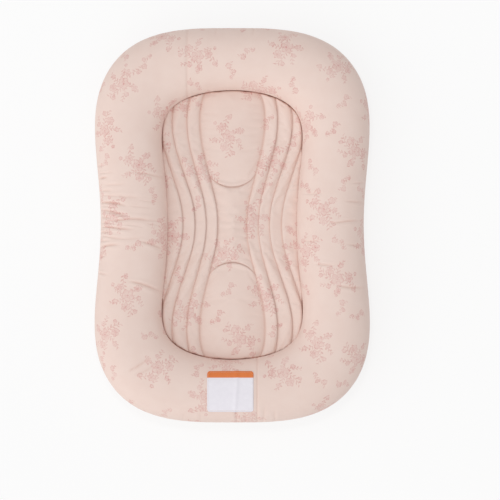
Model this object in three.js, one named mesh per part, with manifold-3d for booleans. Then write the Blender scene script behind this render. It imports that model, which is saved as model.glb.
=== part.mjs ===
// An infant lounger: a stuffed ring with a drawn-in waist round a quilted centre.
// An inner cushion of casing cloth and fibre fill sits in a cotton cover, which comes off through a
// zip in its underside. All sizes are in millimetres. +Z is up, +Y points to the head end, and the
// origin is on the floor under the middle of the lounger.
import * as THREE from "three";
import { mergeVertices } from "three/addons/utils/BufferGeometryUtils.js";
import Module from "manifold-3d";

const wasm = await Module();
wasm.setup();

// The ring, seen from above. Its sides would reach the full span if they didn't draw in at the waist.
const loungerLength = 737;
const loungerSpan = 536.4;
const rimWidthAtEnds = 117.1;
const rimWidthAtSides = 125.4;
const waistDepth = 22.4;
const waistReach = 285;
const outerPowers = { across: 3.18, along: 4.07 };
const innerPowers = { across: 1.93, along: 7.49 };

// The ring, seen in section: its crown, and the heights of the three seams of its cover.
const loungerHeight = 114;
const wellSeamHeight = 62;
const outerSeamHeight = 52;
const baseSeamHeight = 34;
const floorPress = 0.5; // how much the floor flattens the underside
const sectionPower = 2.2;

// Cloths and the clearances between layers.
const coverCloth = 1.2;
const casingCloth = 0.8;
const liningCloth = 0.8;
const basePanelCloth = 1;
const layerGap = 0.3;
const overrun = 20; // how far a cutting shape passes the piece that it cuts

// The quilted centre.
const quiltBase = 7.5; // from the flat back of the quilted cloth up to the well's seam
const quiltSink = 1.5; // the stitched valleys lie this far below the seam
const channelPuff = 7;
const channelPuffShare = 0.33; // a narrow channel rises by no more than this share of its width
const panelPuff = 5;
const edgeWall = 1; // the upright edge passes the seam by this much before it rounds over
const edgeRounds = [
  { inset: 3, rise: 4.5 },
  { inset: 8, rise: 7 },
  { inset: 16, rise: 9 },
];
// Each stitched line is nearest the middle at the waist and furthest out in the lobes, as shares of
// half the centre's span. Its wave and the round stitched ends are shares of half the centre's length.
const quiltLineShares = [
  { waist: 0.196, lobe: 0.427 },
  { waist: 0.347, lobe: 0.59 },
  { waist: 0.491, lobe: 0.786 },
  { waist: 0.646, lobe: 0.943 },
];
const quiltWaveShare = 0.78;
const roundRadiusShare = 0.367;
const roundCentreShare = 0.489;
const roundSideShare = 0.85; // rows bend no further out than this share of the round stitching's radius
const puffShares = [1, 0.92, 0.68]; // how full the middle panel is, from its middle to its stitching

// The zip in the underside.
const zipEndMargin = 31.4; // from the ends of the base to the ends of the zip's stops
const zipSlotClearance = 0.7; // from the slider's flanges to the panels
const zipSlotMargin = 1.5; // the slot between the panels passes the stops by this much
const tapeWidth = 14;
const tapeThickness = 0.6;
const tapeTail = 10;
const coilWidth = 2.8;
const coilThickness = 2.2;
const coilHalfGap = 0.8;
const coilRound = 0.7;
const stopLength = 3.2;
const bottomStopLength = 4.5;
const sliderLength = 13;
const sliderFrontWidth = 9.8;
const sliderRearWidth = 8.4;
const sliderPlate = 1.2;
const sliderCorner = 2;
const sliderClearance = 0.35;
const sliderFlange = 0.9;
const sliderPostWidth = 0.9;
const sliderPostLength = 3;
const sliderStopGap = 1;
const sliderHeadroom = 1; // from the slider to the inner cushion
const bailWidth = 2;
const bailBar = 1.1;
const bailOpeningLength = 5.2;
const bailOpeningHeight = 2.6;
const bailRound = 1;

// The pull tab, which hangs from the slider's bail.
const pullPin = 1.3;
const pullThickness = 1.3;
const pullRootWidth = 5.4;
const pullTipWidth = 6.6;
const pullWindowWidth = 2.8;
const pullWindowLength = 4.5;
const pullHoleRadius = 1.3;
const pullFloorClearance = 5.4;
const pullRound = 1.2;

// The blank patch on the foot of the rim.
const patchWidth = 85;
const patchDepth = 74;
const patchCorner = 5;
const patchThickness = 0.6;
const patchOffCentre = -3;
const patchFromOuterEdge = 60.5;

// How finely the soft forms are drawn.
const ringStations = 52;
const turnWeight = 160; // a turn of one radian takes as many stations as this length of straight rim
const walkSteps = 1440;
const searchSteps = 64;
const searchHalvings = 30;
const coverAngles = [0, 14, 30, 48, 68, 90, 112, 132, 150, 166, 180];
const undersideAngles = [0, 24, 46, 66, 82, 98, 114, 134, 156, 180];
const liningTopAngles = [0, 14, 48, 90, 132, 166, 180];
const liningUndersideAngles = [0, 24, 66, 82, 98, 114, 156, 180];
const innerRowShares = [0, 0.3, 0.57, 0.8];
const outerRowSteps = 11;
const rowReachShare = 1.03;

const outerOutline = outlineOf(loungerLength, loungerSpan, outerPowers);
const innerOutline = outlineOf(
  loungerLength - 2 * rimWidthAtEnds,
  loungerSpan - 2 * rimWidthAtSides,
  innerPowers,
);
const stations = ringStationsBetween(innerOutline, outerOutline);

// Levels of the flat layers under the quilted cloth, from the top down and from the base up.
const quiltBack = wellSeamHeight - quiltBase;
const backingTop = quiltBack - layerGap;
const slingTopTop = backingTop - liningCloth - layerGap;
const basePanelLow = baseSeamHeight - basePanelCloth / 2;
const tapeLow = basePanelLow + basePanelCloth + layerGap;
const tapeTop = tapeLow + tapeThickness;
const coilTop = tapeLow - layerGap;
const coilLow = coilTop - coilThickness;
const upperPlateLow = tapeTop + sliderClearance;
const upperPlateTop = upperPlateLow + sliderPlate;
const lowerPlateTop = coilLow - sliderClearance;
const lowerPlateLow = lowerPlateTop - sliderPlate;
const slingBottomLow = upperPlateTop + sliderHeadroom;
const slingBottomTop = slingBottomLow + liningCloth;
const centreFillLow = slingBottomTop + layerGap;
const centreFillTop = slingTopTop - liningCloth - layerGap;
const pullPivotHeight = lowerPlateLow - bailOpeningHeight / 2;
const zipLength = innerOutline.length - 2 * zipEndMargin;
const flangeNear = coilHalfGap + coilWidth + sliderClearance;
const flangeFar = flangeNear + sliderFlange;
const chainStart = -zipLength / 2 + stopLength + layerGap;
const chainEnd = zipLength / 2 - bottomStopLength - layerGap;
const sliderRestY = chainStart + sliderStopGap + sliderLength / 2;

function outlineOf(length, span, powers) {
  return { length, span, powers };
}

// Half the width of an outline at a place along the lounger.
function halfWidthAt(outline, y) {
  const away = Math.min(Math.abs(y) / (outline.length / 2), 1);
  const full = (1 - away ** outline.powers.along) ** (1 / outline.powers.across);
  const nearWaist = Math.min(Math.abs(y) / waistReach, 1);
  const bell = (1 + Math.cos(Math.PI * nearWaist)) / 2;
  return full * (outline.span / 2 - waistDepth * bell);
}

function isInside(outline, point) {
  return Math.abs(point.x) < halfWidthAt(outline, point.y);
}

// How far an outline lies from a point on either side of it, looking along a direction: coarse steps
// find the crossing, and halving the last of them places it.
function reachOf(outline, from, direction) {
  const startsInside = isInside(outline, from);
  const isPast = (distance) => {
    const tried = from.clone().addScaledVector(direction, distance);
    return isInside(outline, tried) !== startsInside;
  };
  let step = outline.span / searchSteps;
  let near = 0;
  while (near < outline.length && !isPast(near + step)) near += step;
  for (let i = 0; i < searchHalvings; i += 1) {
    step /= 2;
    if (!isPast(near + step)) near += step;
  }
  return near;
}

// The places round the ring where its section is drawn, spaced along the middle of the rim and
// closer together where it turns.
function ringStationsBetween(inner, outer) {
  const middle = outlineOf(
    (inner.length + outer.length) / 2,
    (inner.span + outer.span) / 2,
    {
      across: (inner.powers.across + outer.powers.across) / 2,
      along: (inner.powers.along + outer.powers.along) / 2,
    },
  );
  const centre = new THREE.Vector2();
  const walk = [];
  for (let i = 0; i <= walkSteps; i += 1) {
    const angle = (2 * Math.PI * i) / walkSteps;
    const direction = new THREE.Vector2(Math.cos(angle), Math.sin(angle));
    walk.push(direction.clone().multiplyScalar(reachOf(middle, centre, direction)));
  }
  const travelled = [0];
  for (let i = 1; i <= walkSteps; i += 1) {
    const along = walk[i].clone().sub(walk[i - 1]);
    const next = walk[(i % walkSteps) + 1].clone().sub(walk[i % walkSteps]);
    const turned = Math.abs(along.angleTo(next));
    travelled.push(travelled[i - 1] + along.length() + turnWeight * turned);
  }
  const round = travelled[walkSteps];
  const found = [];
  let at = 0;
  for (let k = 0; k < ringStations; k += 1) {
    const target = (round * k) / ringStations;
    while (travelled[at + 1] < target) at += 1;
    const share = (target - travelled[at]) / (travelled[at + 1] - travelled[at]);
    const place = walk[at].clone().lerp(walk[at + 1], share);
    const before = walk[(at + walkSteps - 1) % walkSteps];
    const after = walk[(at + 2) % walkSteps];
    const outward = new THREE.Vector2(after.y - before.y, before.x - after.x).normalize();
    const toInner = reachOf(inner, place, outward.clone().negate());
    const toOuter = reachOf(outer, place, outward);
    found.push({
      inner: place.clone().addScaledVector(outward, -toInner),
      outward,
      width: toInner + toOuter,
    });
  }
  return found;
}

// A point of the rim's section. Depth is how far inside the cover's outer face it lies.
function rimPoint(station, degrees, depth, sideHeights, peak) {
  const angle = THREE.MathUtils.degToRad(degrees);
  const half = station.width / 2;
  const across = Math.sign(Math.cos(angle)) * Math.abs(Math.cos(angle)) ** (2 / sectionPower);
  const up = Math.abs(Math.sin(angle)) ** (2 / sectionPower);
  const side = degrees < 90 ? sideHeights.inner : sideHeights.outer;
  const out = half - across * (half - depth);
  return { out, z: side + (peak - side) * up };
}

function topArc(station, angles, depth, seamGap) {
  const sides = { inner: wellSeamHeight, outer: outerSeamHeight + seamGap };
  return angles.map((degrees) =>
    rimPoint(station, degrees, depth, sides, loungerHeight - depth),
  );
}

function undersideArc(station, angles, depth, seamGap) {
  const sides = { inner: baseSeamHeight, outer: outerSeamHeight - seamGap };
  return angles.map((degrees) => {
    const point = rimPoint(station, degrees, depth, sides, depth - floorPress);
    return { out: point.out, z: Math.max(point.z, depth) };
  });
}

// A closed ring whose section is given at each station as points, out from the well's seam and up.
function ringGeometry(sectionAt) {
  const positions = [];
  const index = [];
  const count = sectionAt(stations[0]).length;
  for (const station of stations) {
    for (const { out, z } of sectionAt(station)) {
      const place = station.inner.clone().addScaledVector(station.outward, out);
      positions.push(place.x, place.y, z);
    }
  }
  for (let k = 0; k < stations.length; k += 1) {
    const next = (k + 1) % stations.length;
    for (let i = 0; i < count; i += 1) {
      const after = (i + 1) % count;
      const a = k * count + i;
      const b = next * count + i;
      const c = next * count + after;
      const d = k * count + after;
      if (isOutermost(positions, k, [a, c], [b, d])) index.push(a, c, b, a, d, c);
      else index.push(a, d, b, b, d, c);
    }
  }
  return facingOut(positions, index);
}

// Which diagonal of a four-sided facet bulges out. All the layers are folded along the same one.
function isOutermost(positions, k, one, other) {
  const nearby = [stations[k], stations[(k + 1) % stations.length]];
  const core = new THREE.Vector3();
  for (const { inner, outward, width } of nearby) {
    const middle = inner.clone().addScaledVector(outward, width / 2);
    core.add(new THREE.Vector3(middle.x / 2, middle.y / 2, outerSeamHeight / 2));
  }
  const [reach, otherReach] = [one, other].map(([from, to]) => {
    const end = new THREE.Vector3().fromArray(positions, 3 * to);
    return new THREE.Vector3().fromArray(positions, 3 * from).lerp(end, 0.5).distanceTo(core);
  });
  return reach > otherReach;
}

// The outline of the well, moved inwards by an inset, as flat points.
function wellOutline(inset) {
  return stations.map(({ inner, outward }) => inner.clone().addScaledVector(outward, -inset));
}

// A closed stack of well outlines, one above the other. Its ends fan out from the middle.
function wellStack(levels) {
  const positions = [];
  const index = [];
  const count = stations.length;
  for (const { inset, z } of levels) {
    for (const point of wellOutline(inset)) positions.push(point.x, point.y, z);
  }
  const bottom = levels.length * count;
  const top = bottom + 1;
  positions.push(0, 0, levels[0].z, 0, 0, levels[levels.length - 1].z);
  for (let level = 0; level + 1 < levels.length; level += 1) {
    for (let i = 0; i < count; i += 1) {
      const after = (i + 1) % count;
      const a = level * count + i;
      const b = level * count + after;
      index.push(a, b, b + count, a, b + count, a + count);
    }
  }
  const last = (levels.length - 1) * count;
  for (let i = 0; i < count; i += 1) {
    const after = (i + 1) % count;
    index.push(after, i, bottom, last + i, last + after, top);
  }
  return facingOut(positions, index);
}

function wellPlate(low, high, inset) {
  return wellStack([
    { inset, z: low },
    { inset, z: high },
  ]);
}

// The inner cushion's centre reaches under the cover's rim, up to its casing.
function slingPlate(low, high) {
  return wellPlate(low, high, -coverCloth);
}

// A geometry whose faces point out, whichever way round its triangles were listed.
function facingOut(positions, index) {
  const geometry = new THREE.BufferGeometry();
  geometry.setAttribute("position", new THREE.Float32BufferAttribute(positions, 3));
  const corner = (i) => new THREE.Vector3().fromArray(positions, 3 * i);
  let volume = 0;
  for (let i = 0; i < index.length; i += 3) {
    volume += corner(index[i]).dot(corner(index[i + 1]).cross(corner(index[i + 2])));
  }
  geometry.setIndex(volume < 0 ? index.slice().reverse() : index);
  return geometry;
}

function solidFrom(geometry) {
  const bare = geometry.clone();
  bare.deleteAttribute("normal");
  bare.deleteAttribute("uv");
  const merged = mergeVertices(bare);
  return new wasm.Manifold(
    new wasm.Mesh({
      numProp: 3,
      vertProperties: new Float32Array(merged.attributes.position.array),
      triVerts: new Uint32Array(merged.index.array),
    }),
  );
}

function geometryFrom(solid) {
  const mesh = solid.getMesh();
  const geometry = new THREE.BufferGeometry();
  geometry.setAttribute("position", new THREE.BufferAttribute(mesh.vertProperties, mesh.numProp));
  geometry.setIndex(new THREE.BufferAttribute(mesh.triVerts, 1));
  return geometry;
}

// A box between two corners.
function boxBetween(low, high) {
  const size = new THREE.Vector3().subVectors(high, low);
  const box = new THREE.BoxGeometry(size.x, size.y, size.z);
  return box.translate(low.x + size.x / 2, low.y + size.y / 2, low.z + size.z / 2);
}

function corner(x, y, z) {
  return new THREE.Vector3(x, y, z);
}

// A rounded rectangle, or a rounded wedge if its two ends differ in width, centred on the origin.
function roundedShape(frontWidth, rearWidth, length, radius) {
  const corners = [
    [-rearWidth / 2, -length / 2],
    [rearWidth / 2, -length / 2],
    [frontWidth / 2, length / 2],
    [-frontWidth / 2, length / 2],
  ].map(([x, y]) => new THREE.Vector2(x, y));
  const shape = new THREE.Shape();
  corners.forEach((point, i) => {
    const before = corners[(i + 3) % 4].clone().sub(point).setLength(radius).add(point);
    const after = corners[(i + 1) % 4].clone().sub(point).setLength(radius).add(point);
    if (i === 0) shape.moveTo(before.x, before.y);
    else shape.lineTo(before.x, before.y);
    shape.quadraticCurveTo(point.x, point.y, after.x, after.y);
  });
  shape.closePath();
  return shape;
}

function extruded(shape, depth, curveSegments) {
  return new THREE.ExtrudeGeometry(shape, { depth, bevelEnabled: false, curveSegments });
}

function named(name, geometry, material) {
  const mesh = new THREE.Mesh(geometry, material);
  mesh.name = name;
  return mesh;
}

function finish(color, roughness, metalness) {
  return new THREE.MeshStandardMaterial({ color, roughness, metalness });
}

const printedCotton = finish("#e6d1c7", 0.92, 0);
const plainCotton = finish("#ead8ce", 0.94, 0);
const casingMuslin = finish("#f0ebe0", 0.95, 0);
const polyesterFibre = finish("#f6f5f2", 1, 0);
const zipTapeCloth = finish("#dfc6bb", 0.85, 0);
const nylonCoil = finish("#e2cabf", 0.5, 0);
const dieCastZinc = finish("#cdbcb2", 0.35, 0.9);
const satinPatch = finish("#ece9ee", 0.6, 0);

// A shell of the rim, from an outer face to an inner face that lies one cloth deeper.
function rimShell(arc, angles, depth, cloth) {
  return ringGeometry((station) => [
    ...arc(station, angles, depth, layerGap / 2),
    ...arc(station, angles, depth + cloth, layerGap / 2).reverse(),
  ]);
}

// The casing also lines the inside of the ring, down or up to the middle of the well's wall.
function casingHalf(arc, angles, side) {
  const depth = coverCloth + layerGap;
  const inside = depth + casingCloth;
  const middle = (wellSeamHeight + baseSeamHeight) / 2 + (side * layerGap) / 2;
  return ringGeometry((station) => [
    { out: depth, z: middle },
    ...arc(station, angles, depth, layerGap / 2),
    ...arc(station, angles, inside, layerGap / 2).reverse(),
    { out: inside, z: middle },
  ]);
}

function bolsterFill() {
  const depth = coverCloth + casingCloth + 2 * layerGap;
  return ringGeometry((station) => [
    ...topArc(station, liningTopAngles, depth, 0),
    ...undersideArc(station, liningUndersideAngles, depth, 0).reverse().slice(1),
  ]);
}

// The places of the stitched lines, out from the middle of the centre panel.
function quiltLineAt(line, y) {
  const half = innerOutline.span / 2;
  const wave = (quiltWaveShare * innerOutline.length) / 2;
  const rise = (1 - Math.cos((Math.PI * y) / wave)) / 2;
  return half * (line.waist + (line.lobe - line.waist) * rise);
}

// Rows run across the centre. They bend, so that one row in each half follows the round stitching.
function bentRow(y, x) {
  const half = innerOutline.length / 2;
  const radius = (roundRadiusShare * innerOutline.span) / 2;
  const crest = roundCentreShare * half - radius;
  const side = Math.min(Math.abs(x), roundSideShare * radius);
  const lift = radius - Math.sqrt(radius * radius - side * side);
  const away = Math.abs(y);
  const share = away < crest ? away / crest : (half - Math.min(away, half)) / (half - crest);
  return Math.sign(y) * (away + lift * share);
}

// The quilted cloth: printed cotton stitched onto soft wadding, with a flat back.
function quiltedFace() {
  const half = innerOutline.length / 2;
  const roundCrest = roundCentreShare * half - (roundRadiusShare * innerOutline.span) / 2;
  const valley = wellSeamHeight - quiltSink;
  const rows = innerRowShares.map((share) => share * roundCrest);
  for (let i = 0; i <= outerRowSteps; i += 1) {
    const reach = rowReachShare * half - roundCrest;
    rows.push(roundCrest + (reach * i) / outerRowSteps);
  }
  const allRows = [...rows.slice(1).reverse().map((y) => -y), ...rows];
  const edge = innerOutline.span / 2 + overrun;
  const columnsAt = (y) => {
    const lines = quiltLineShares.map((line) => quiltLineAt(line, y));
    const columns = puffShares.map((puff, i) => ({
      x: (lines[0] * i) / puffShares.length,
      z: valley + panelPuff * puff,
    }));
    let crown = valley;
    lines.forEach((x, i) => {
      const seam = Math.max(halfWidthAt(innerOutline, y), x + layerGap);
      const next = i + 1 < lines.length ? lines[i + 1] : seam;
      crown = valley + Math.min(channelPuff, channelPuffShare * (next - x));
      columns.push({ x, z: valley });
      columns.push({ x: (x + next) / 2, z: crown });
    });
    columns.push({ x: edge, z: crown });
    return columns;
  };
  const grid = allRows.map((y) => {
    const onRound = Math.abs(Math.abs(y) - roundCrest) < layerGap;
    const side = columnsAt(y).map((column, i) => {
      const bentY = bentRow(y, column.x);
      const moved = columnsAt(bentY)[i];
      return { x: moved.x, y: bentY, z: onRound && i < puffShares.length ? valley : moved.z };
    });
    const mirrored = side.slice(1).map((point) => ({ ...point, x: -point.x }));
    return [...mirrored.reverse(), ...side];
  });
  const trimmed = solidFrom(blockUnder(grid, quiltBack)).intersect(solidFrom(quiltTrim()));
  return geometryFrom(trimmed);
}

// What trims the quilted cloth to the well's outline and rounds it over along its edge.
function quiltTrim() {
  return wellStack([
    { inset: layerGap, z: quiltBack },
    { inset: layerGap, z: wellSeamHeight + edgeWall },
    ...edgeRounds.map(({ inset, rise }) => ({ inset, z: wellSeamHeight + rise })),
  ]);
}

// A solid between a grid of points and a flat face a little below the given level.
function blockUnder(grid, level) {
  const rows = grid.length;
  const columns = grid[0].length;
  const low = level - overrun;
  const positions = [];
  for (const row of grid) for (const { x, y, z } of row) positions.push(x, y, z);
  for (const row of grid) for (const { x, y } of row) positions.push(x, y, low);
  const at = (row, column) => row * columns + column;
  const under = rows * columns;
  const index = [];
  for (let r = 0; r + 1 < rows; r += 1) {
    for (let c = 0; c + 1 < columns; c += 1) {
      const [a, b, d, e] = [at(r, c), at(r, c + 1), at(r + 1, c), at(r + 1, c + 1)];
      index.push(a, b, e, a, e, d);
      index.push(under + a, under + e, under + b, under + a, under + d, under + e);
    }
  }
  const rim = [];
  for (let c = 0; c + 1 < columns; c += 1) rim.push([at(0, c + 1), at(0, c)]);
  for (let c = 0; c + 1 < columns; c += 1) rim.push([at(rows - 1, c), at(rows - 1, c + 1)]);
  for (let r = 0; r + 1 < rows; r += 1) rim.push([at(r, 0), at(r + 1, 0)]);
  for (let r = 0; r + 1 < rows; r += 1) rim.push([at(r + 1, columns - 1), at(r, columns - 1)]);
  for (const [a, b] of rim) index.push(a, b, under + b, a, under + b, under + a);
  return facingOut(positions, index);
}

// Half of the base, from the well's wall to the zip: a slot along the chain, and a butted seam past it.
function basePanel(side) {
  const plate = solidFrom(wellPlate(basePanelLow, basePanelLow + basePanelCloth, layerGap));
  const far = side * (innerOutline.span / 2 + overrun);
  const slotHalfLength = zipLength / 2 + zipSlotMargin;
  const low = basePanelLow - overrun;
  const high = basePanelLow + overrun;
  const seam = (side * layerGap) / 2;
  const keep = boxBetween(
    corner(Math.min(seam, far), -innerOutline.length, low),
    corner(Math.max(seam, far), innerOutline.length, high),
  );
  const slot = boxBetween(
    corner(-flangeFar - zipSlotClearance, -slotHalfLength, low),
    corner(flangeFar + zipSlotClearance, slotHalfLength, high),
  );
  return geometryFrom(plate.intersect(solidFrom(keep)).subtract(solidFrom(slot)));
}

function zipTape(side) {
  const near = side * coilHalfGap;
  const far = side * (coilHalfGap + tapeWidth);
  const halfLength = zipLength / 2 + tapeTail;
  return boxBetween(
    corner(Math.min(near, far), -halfLength, tapeLow),
    corner(Math.max(near, far), halfLength, tapeTop),
  );
}

// A bead of the zip's chain, between its stops, with its lower corners rounded.
function zipCoil(side) {
  const shape = roundedShape(coilWidth, coilWidth, coilThickness, coilRound);
  const bead = extruded(shape, chainEnd - chainStart, 3);
  bead.rotateX(Math.PI / 2);
  const middle = side * (coilHalfGap + coilWidth / 2);
  return bead.translate(middle, chainEnd, coilLow + coilThickness / 2);
}

function zipTopStop(side) {
  const shape = roundedShape(coilWidth, coilWidth, stopLength, coilRound);
  const middle = side * (coilHalfGap + coilWidth / 2);
  const y = -zipLength / 2 + stopLength / 2;
  return extruded(shape, coilThickness, 3).translate(middle, y, coilLow);
}

function zipBottomStop() {
  const width = 2 * (coilHalfGap + coilWidth);
  const shape = roundedShape(width, width, bottomStopLength, coilRound);
  const y = zipLength / 2 - bottomStopLength / 2;
  return extruded(shape, coilThickness, 3).translate(0, y, coilLow);
}

// Two plates and a post between the beads, flanges that hold the beads in, and the bail below.
function zipSlider() {
  const outline = roundedShape(sliderRearWidth, sliderFrontWidth, sliderLength, sliderCorner);
  const upper = extruded(outline, sliderPlate, 4).translate(0, 0, upperPlateLow);
  const lower = extruded(outline, sliderPlate, 4).translate(0, 0, lowerPlateLow);
  const postFront = -sliderLength / 2 + sliderCorner;
  const post = boxBetween(
    corner(-sliderPostWidth / 2, postFront, lowerPlateLow + sliderPlate / 2),
    corner(sliderPostWidth / 2, postFront + sliderPostLength, upperPlateLow + sliderPlate / 2),
  );
  const flangeHalf = sliderLength / 2 - sliderCorner;
  const flangeLow = lowerPlateLow + sliderPlate / 2;
  const flangeTop = tapeLow - sliderClearance;
  const flanges = [
    boxBetween(corner(-flangeFar, -flangeHalf, flangeLow), corner(-flangeNear, flangeHalf, flangeTop)),
    boxBetween(corner(flangeNear, -flangeHalf, flangeLow), corner(flangeFar, flangeHalf, flangeTop)),
  ];
  const pieces = [upper, lower, post, ...flanges, sliderBail()].map(solidFrom);
  const slider = pieces.reduce((joined, piece) => joined.add(piece));
  return geometryFrom(slider).translate(0, sliderRestY, 0);
}

// An arch under the slider, with an opening that the pull's pin hangs in.
function sliderBail() {
  const length = bailOpeningLength + 2 * bailBar;
  const rooted = sliderPlate / 2;
  const height = rooted + bailOpeningHeight + bailBar;
  const arch = new THREE.Shape();
  arch.moveTo(-length / 2, 0);
  arch.lineTo(-length / 2, -height + bailRound);
  arch.quadraticCurveTo(-length / 2, -height, -length / 2 + bailRound, -height);
  arch.lineTo(length / 2 - bailRound, -height);
  arch.quadraticCurveTo(length / 2, -height, length / 2, -height + bailRound);
  arch.lineTo(length / 2, 0);
  arch.closePath();
  const opening = new THREE.Path();
  opening.moveTo(-bailOpeningLength / 2, -rooted);
  opening.lineTo(bailOpeningLength / 2, -rooted);
  opening.lineTo(bailOpeningLength / 2, -rooted - bailOpeningHeight);
  opening.lineTo(-bailOpeningLength / 2, -rooted - bailOpeningHeight);
  opening.closePath();
  arch.holes.push(opening);
  const bail = extruded(arch, bailWidth, 4);
  bail.translate(0, 0, -bailWidth / 2);
  bail.rotateX(Math.PI / 2);
  bail.rotateZ(Math.PI / 2);
  return bail.translate(0, 0, lowerPlateLow + rooted);
}

// The pull hangs straight down. Its pin lies across the bail, and its window leaves room for it.
function zipPull() {
  const length = pullPivotHeight - pullFloorClearance;
  const shape = roundedShape(pullRootWidth, pullTipWidth, length, pullRound);
  const window = new THREE.Path();
  const windowTop = length / 2 - pullPin;
  const windowLow = windowTop - pullWindowLength;
  window.moveTo(-pullWindowWidth / 2, windowTop);
  window.lineTo(pullWindowWidth / 2, windowTop);
  window.lineTo(pullWindowWidth / 2, windowLow);
  window.lineTo(-pullWindowWidth / 2, windowLow);
  window.closePath();
  const hole = new THREE.Path();
  hole.absarc(0, -length / 2 + 2 * pullHoleRadius + pullRound, pullHoleRadius, 0, 2 * Math.PI);
  shape.holes.push(window, hole);
  const pull = extruded(shape, pullThickness, 5);
  pull.translate(0, 0, -pullThickness / 2);
  pull.rotateX(Math.PI / 2);
  return pull.translate(0, sliderRestY, pullPivotHeight + pullPin / 2 - length / 2);
}

// The patch follows the rim's cover and is cut to a rounded rectangle.
function patch() {
  const over = ringGeometry((station) => [
    ...topArc(station, coverAngles, -layerGap - patchThickness, 0),
    ...topArc(station, coverAngles, -layerGap, 0).reverse(),
  ]);
  const shape = roundedShape(patchWidth, patchWidth, patchDepth, patchCorner);
  const cutter = extruded(shape, loungerHeight, 3);
  cutter.translate(patchOffCentre, -loungerLength / 2 + patchFromOuterEdge, outerSeamHeight);
  return geometryFrom(solidFrom(over).intersect(solidFrom(cutter)));
}

const cover = new THREE.Group();
cover.add(
  named("cover_rim_top", rimShell(topArc, coverAngles, 0, coverCloth), printedCotton),
  named("cover_rim_underside", rimShell(undersideArc, undersideAngles, 0, coverCloth), plainCotton),
  named("quilted_centre_face", quiltedFace(), printedCotton),
  named(
    "quilt_backing",
    wellPlate(backingTop - liningCloth, backingTop, layerGap),
    plainCotton,
  ),
  named("base_panel_left", basePanel(-1), plainCotton),
  named("base_panel_right", basePanel(1), plainCotton),
  named("blank_patch", patch(), satinPatch),
);

const innerCushion = new THREE.Group();
innerCushion.add(
  named("casing_top", casingHalf(topArc, liningTopAngles, 1), casingMuslin),
  named("casing_underside", casingHalf(undersideArc, liningUndersideAngles, -1), casingMuslin),
  named("bolster_fill", bolsterFill(), polyesterFibre),
  named("sling_cloth_upper", slingPlate(slingTopTop - liningCloth, slingTopTop), casingMuslin),
  named("centre_fill", slingPlate(centreFillLow, centreFillTop), polyesterFibre),
  named("sling_cloth_lower", slingPlate(slingBottomLow, slingBottomTop), casingMuslin),
);

const zip = new THREE.Group();
zip.add(
  named("zip_tape_left", zipTape(-1), zipTapeCloth),
  named("zip_tape_right", zipTape(1), zipTapeCloth),
  named("zip_coil_left", zipCoil(-1), nylonCoil),
  named("zip_coil_right", zipCoil(1), nylonCoil),
  named("zip_top_stop_left", zipTopStop(-1), dieCastZinc),
  named("zip_top_stop_right", zipTopStop(1), dieCastZinc),
  named("zip_bottom_stop", zipBottomStop(), dieCastZinc),
  named("zip_slider", zipSlider(), dieCastZinc),
  named("zip_pull", zipPull(), dieCastZinc),
);

const lounger = new THREE.Group();
lounger.add(cover, innerCushion, zip);

export default lounger;
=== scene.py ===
import math
import bmesh
import bpy
import numpy as np
from mathutils import Euler, Matrix, Vector, noise
from mathutils.bvhtree import BVHTree


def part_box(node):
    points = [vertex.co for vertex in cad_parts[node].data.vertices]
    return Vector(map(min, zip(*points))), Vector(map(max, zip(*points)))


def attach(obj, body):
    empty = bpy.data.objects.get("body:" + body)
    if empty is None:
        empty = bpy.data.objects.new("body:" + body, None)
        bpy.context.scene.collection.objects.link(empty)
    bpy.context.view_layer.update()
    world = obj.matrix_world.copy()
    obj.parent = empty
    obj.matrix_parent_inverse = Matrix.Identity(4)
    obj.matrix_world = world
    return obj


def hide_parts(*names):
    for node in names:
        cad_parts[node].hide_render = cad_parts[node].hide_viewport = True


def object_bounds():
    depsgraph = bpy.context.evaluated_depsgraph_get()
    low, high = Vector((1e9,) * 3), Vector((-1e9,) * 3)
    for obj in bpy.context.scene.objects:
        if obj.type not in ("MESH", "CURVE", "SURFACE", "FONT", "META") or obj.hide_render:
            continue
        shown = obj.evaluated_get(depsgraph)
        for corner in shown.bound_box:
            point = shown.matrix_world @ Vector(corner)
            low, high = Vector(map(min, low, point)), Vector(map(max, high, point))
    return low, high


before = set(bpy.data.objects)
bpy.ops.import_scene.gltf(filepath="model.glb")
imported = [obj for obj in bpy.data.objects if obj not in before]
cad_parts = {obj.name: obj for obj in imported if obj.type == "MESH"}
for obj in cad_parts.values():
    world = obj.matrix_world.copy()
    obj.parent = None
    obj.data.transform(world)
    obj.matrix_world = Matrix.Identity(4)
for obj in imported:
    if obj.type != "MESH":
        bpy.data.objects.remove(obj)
cadLow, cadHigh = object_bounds()
mm = 0.001
up = Vector((0, 0, 1))
mergeWithin = 0.02 * mm  # points of a grid that lie closer are one point

# The ring seen from above: an outer and an inner outline, both drawn in towards the waist.
plan = {
    "outerSpan": 536.4 * mm, "waistDepth": 22.4 * mm, "waistReach": 285 * mm,
    "rimWidthAtEnds": 117.1 * mm, "rimWidthAtSides": 125.4 * mm,
    "outerPowers": (3.18, 4.07), "innerPowers": (1.93, 7.49),
    # the stations round the ring stand closer together at the waist and at the middle of the foot
    "crowdedWaist": (120 * mm, 150 * mm), "crowdedFoot": (280 * mm, 300 * mm),
    "crowdedAcross": (90 * mm, 120 * mm), "crowding": 1.5,
    "walkPoints": 4097, "widestReach": 120 * mm,
    # how often the searches for an outline and for the end of a line are halved
    "outlineHalvings": 34, "lineHalvings": 40,
}


def outlineOf(length, span, powers):
    return {"length": length, "span": span, "powers": powers}


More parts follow.
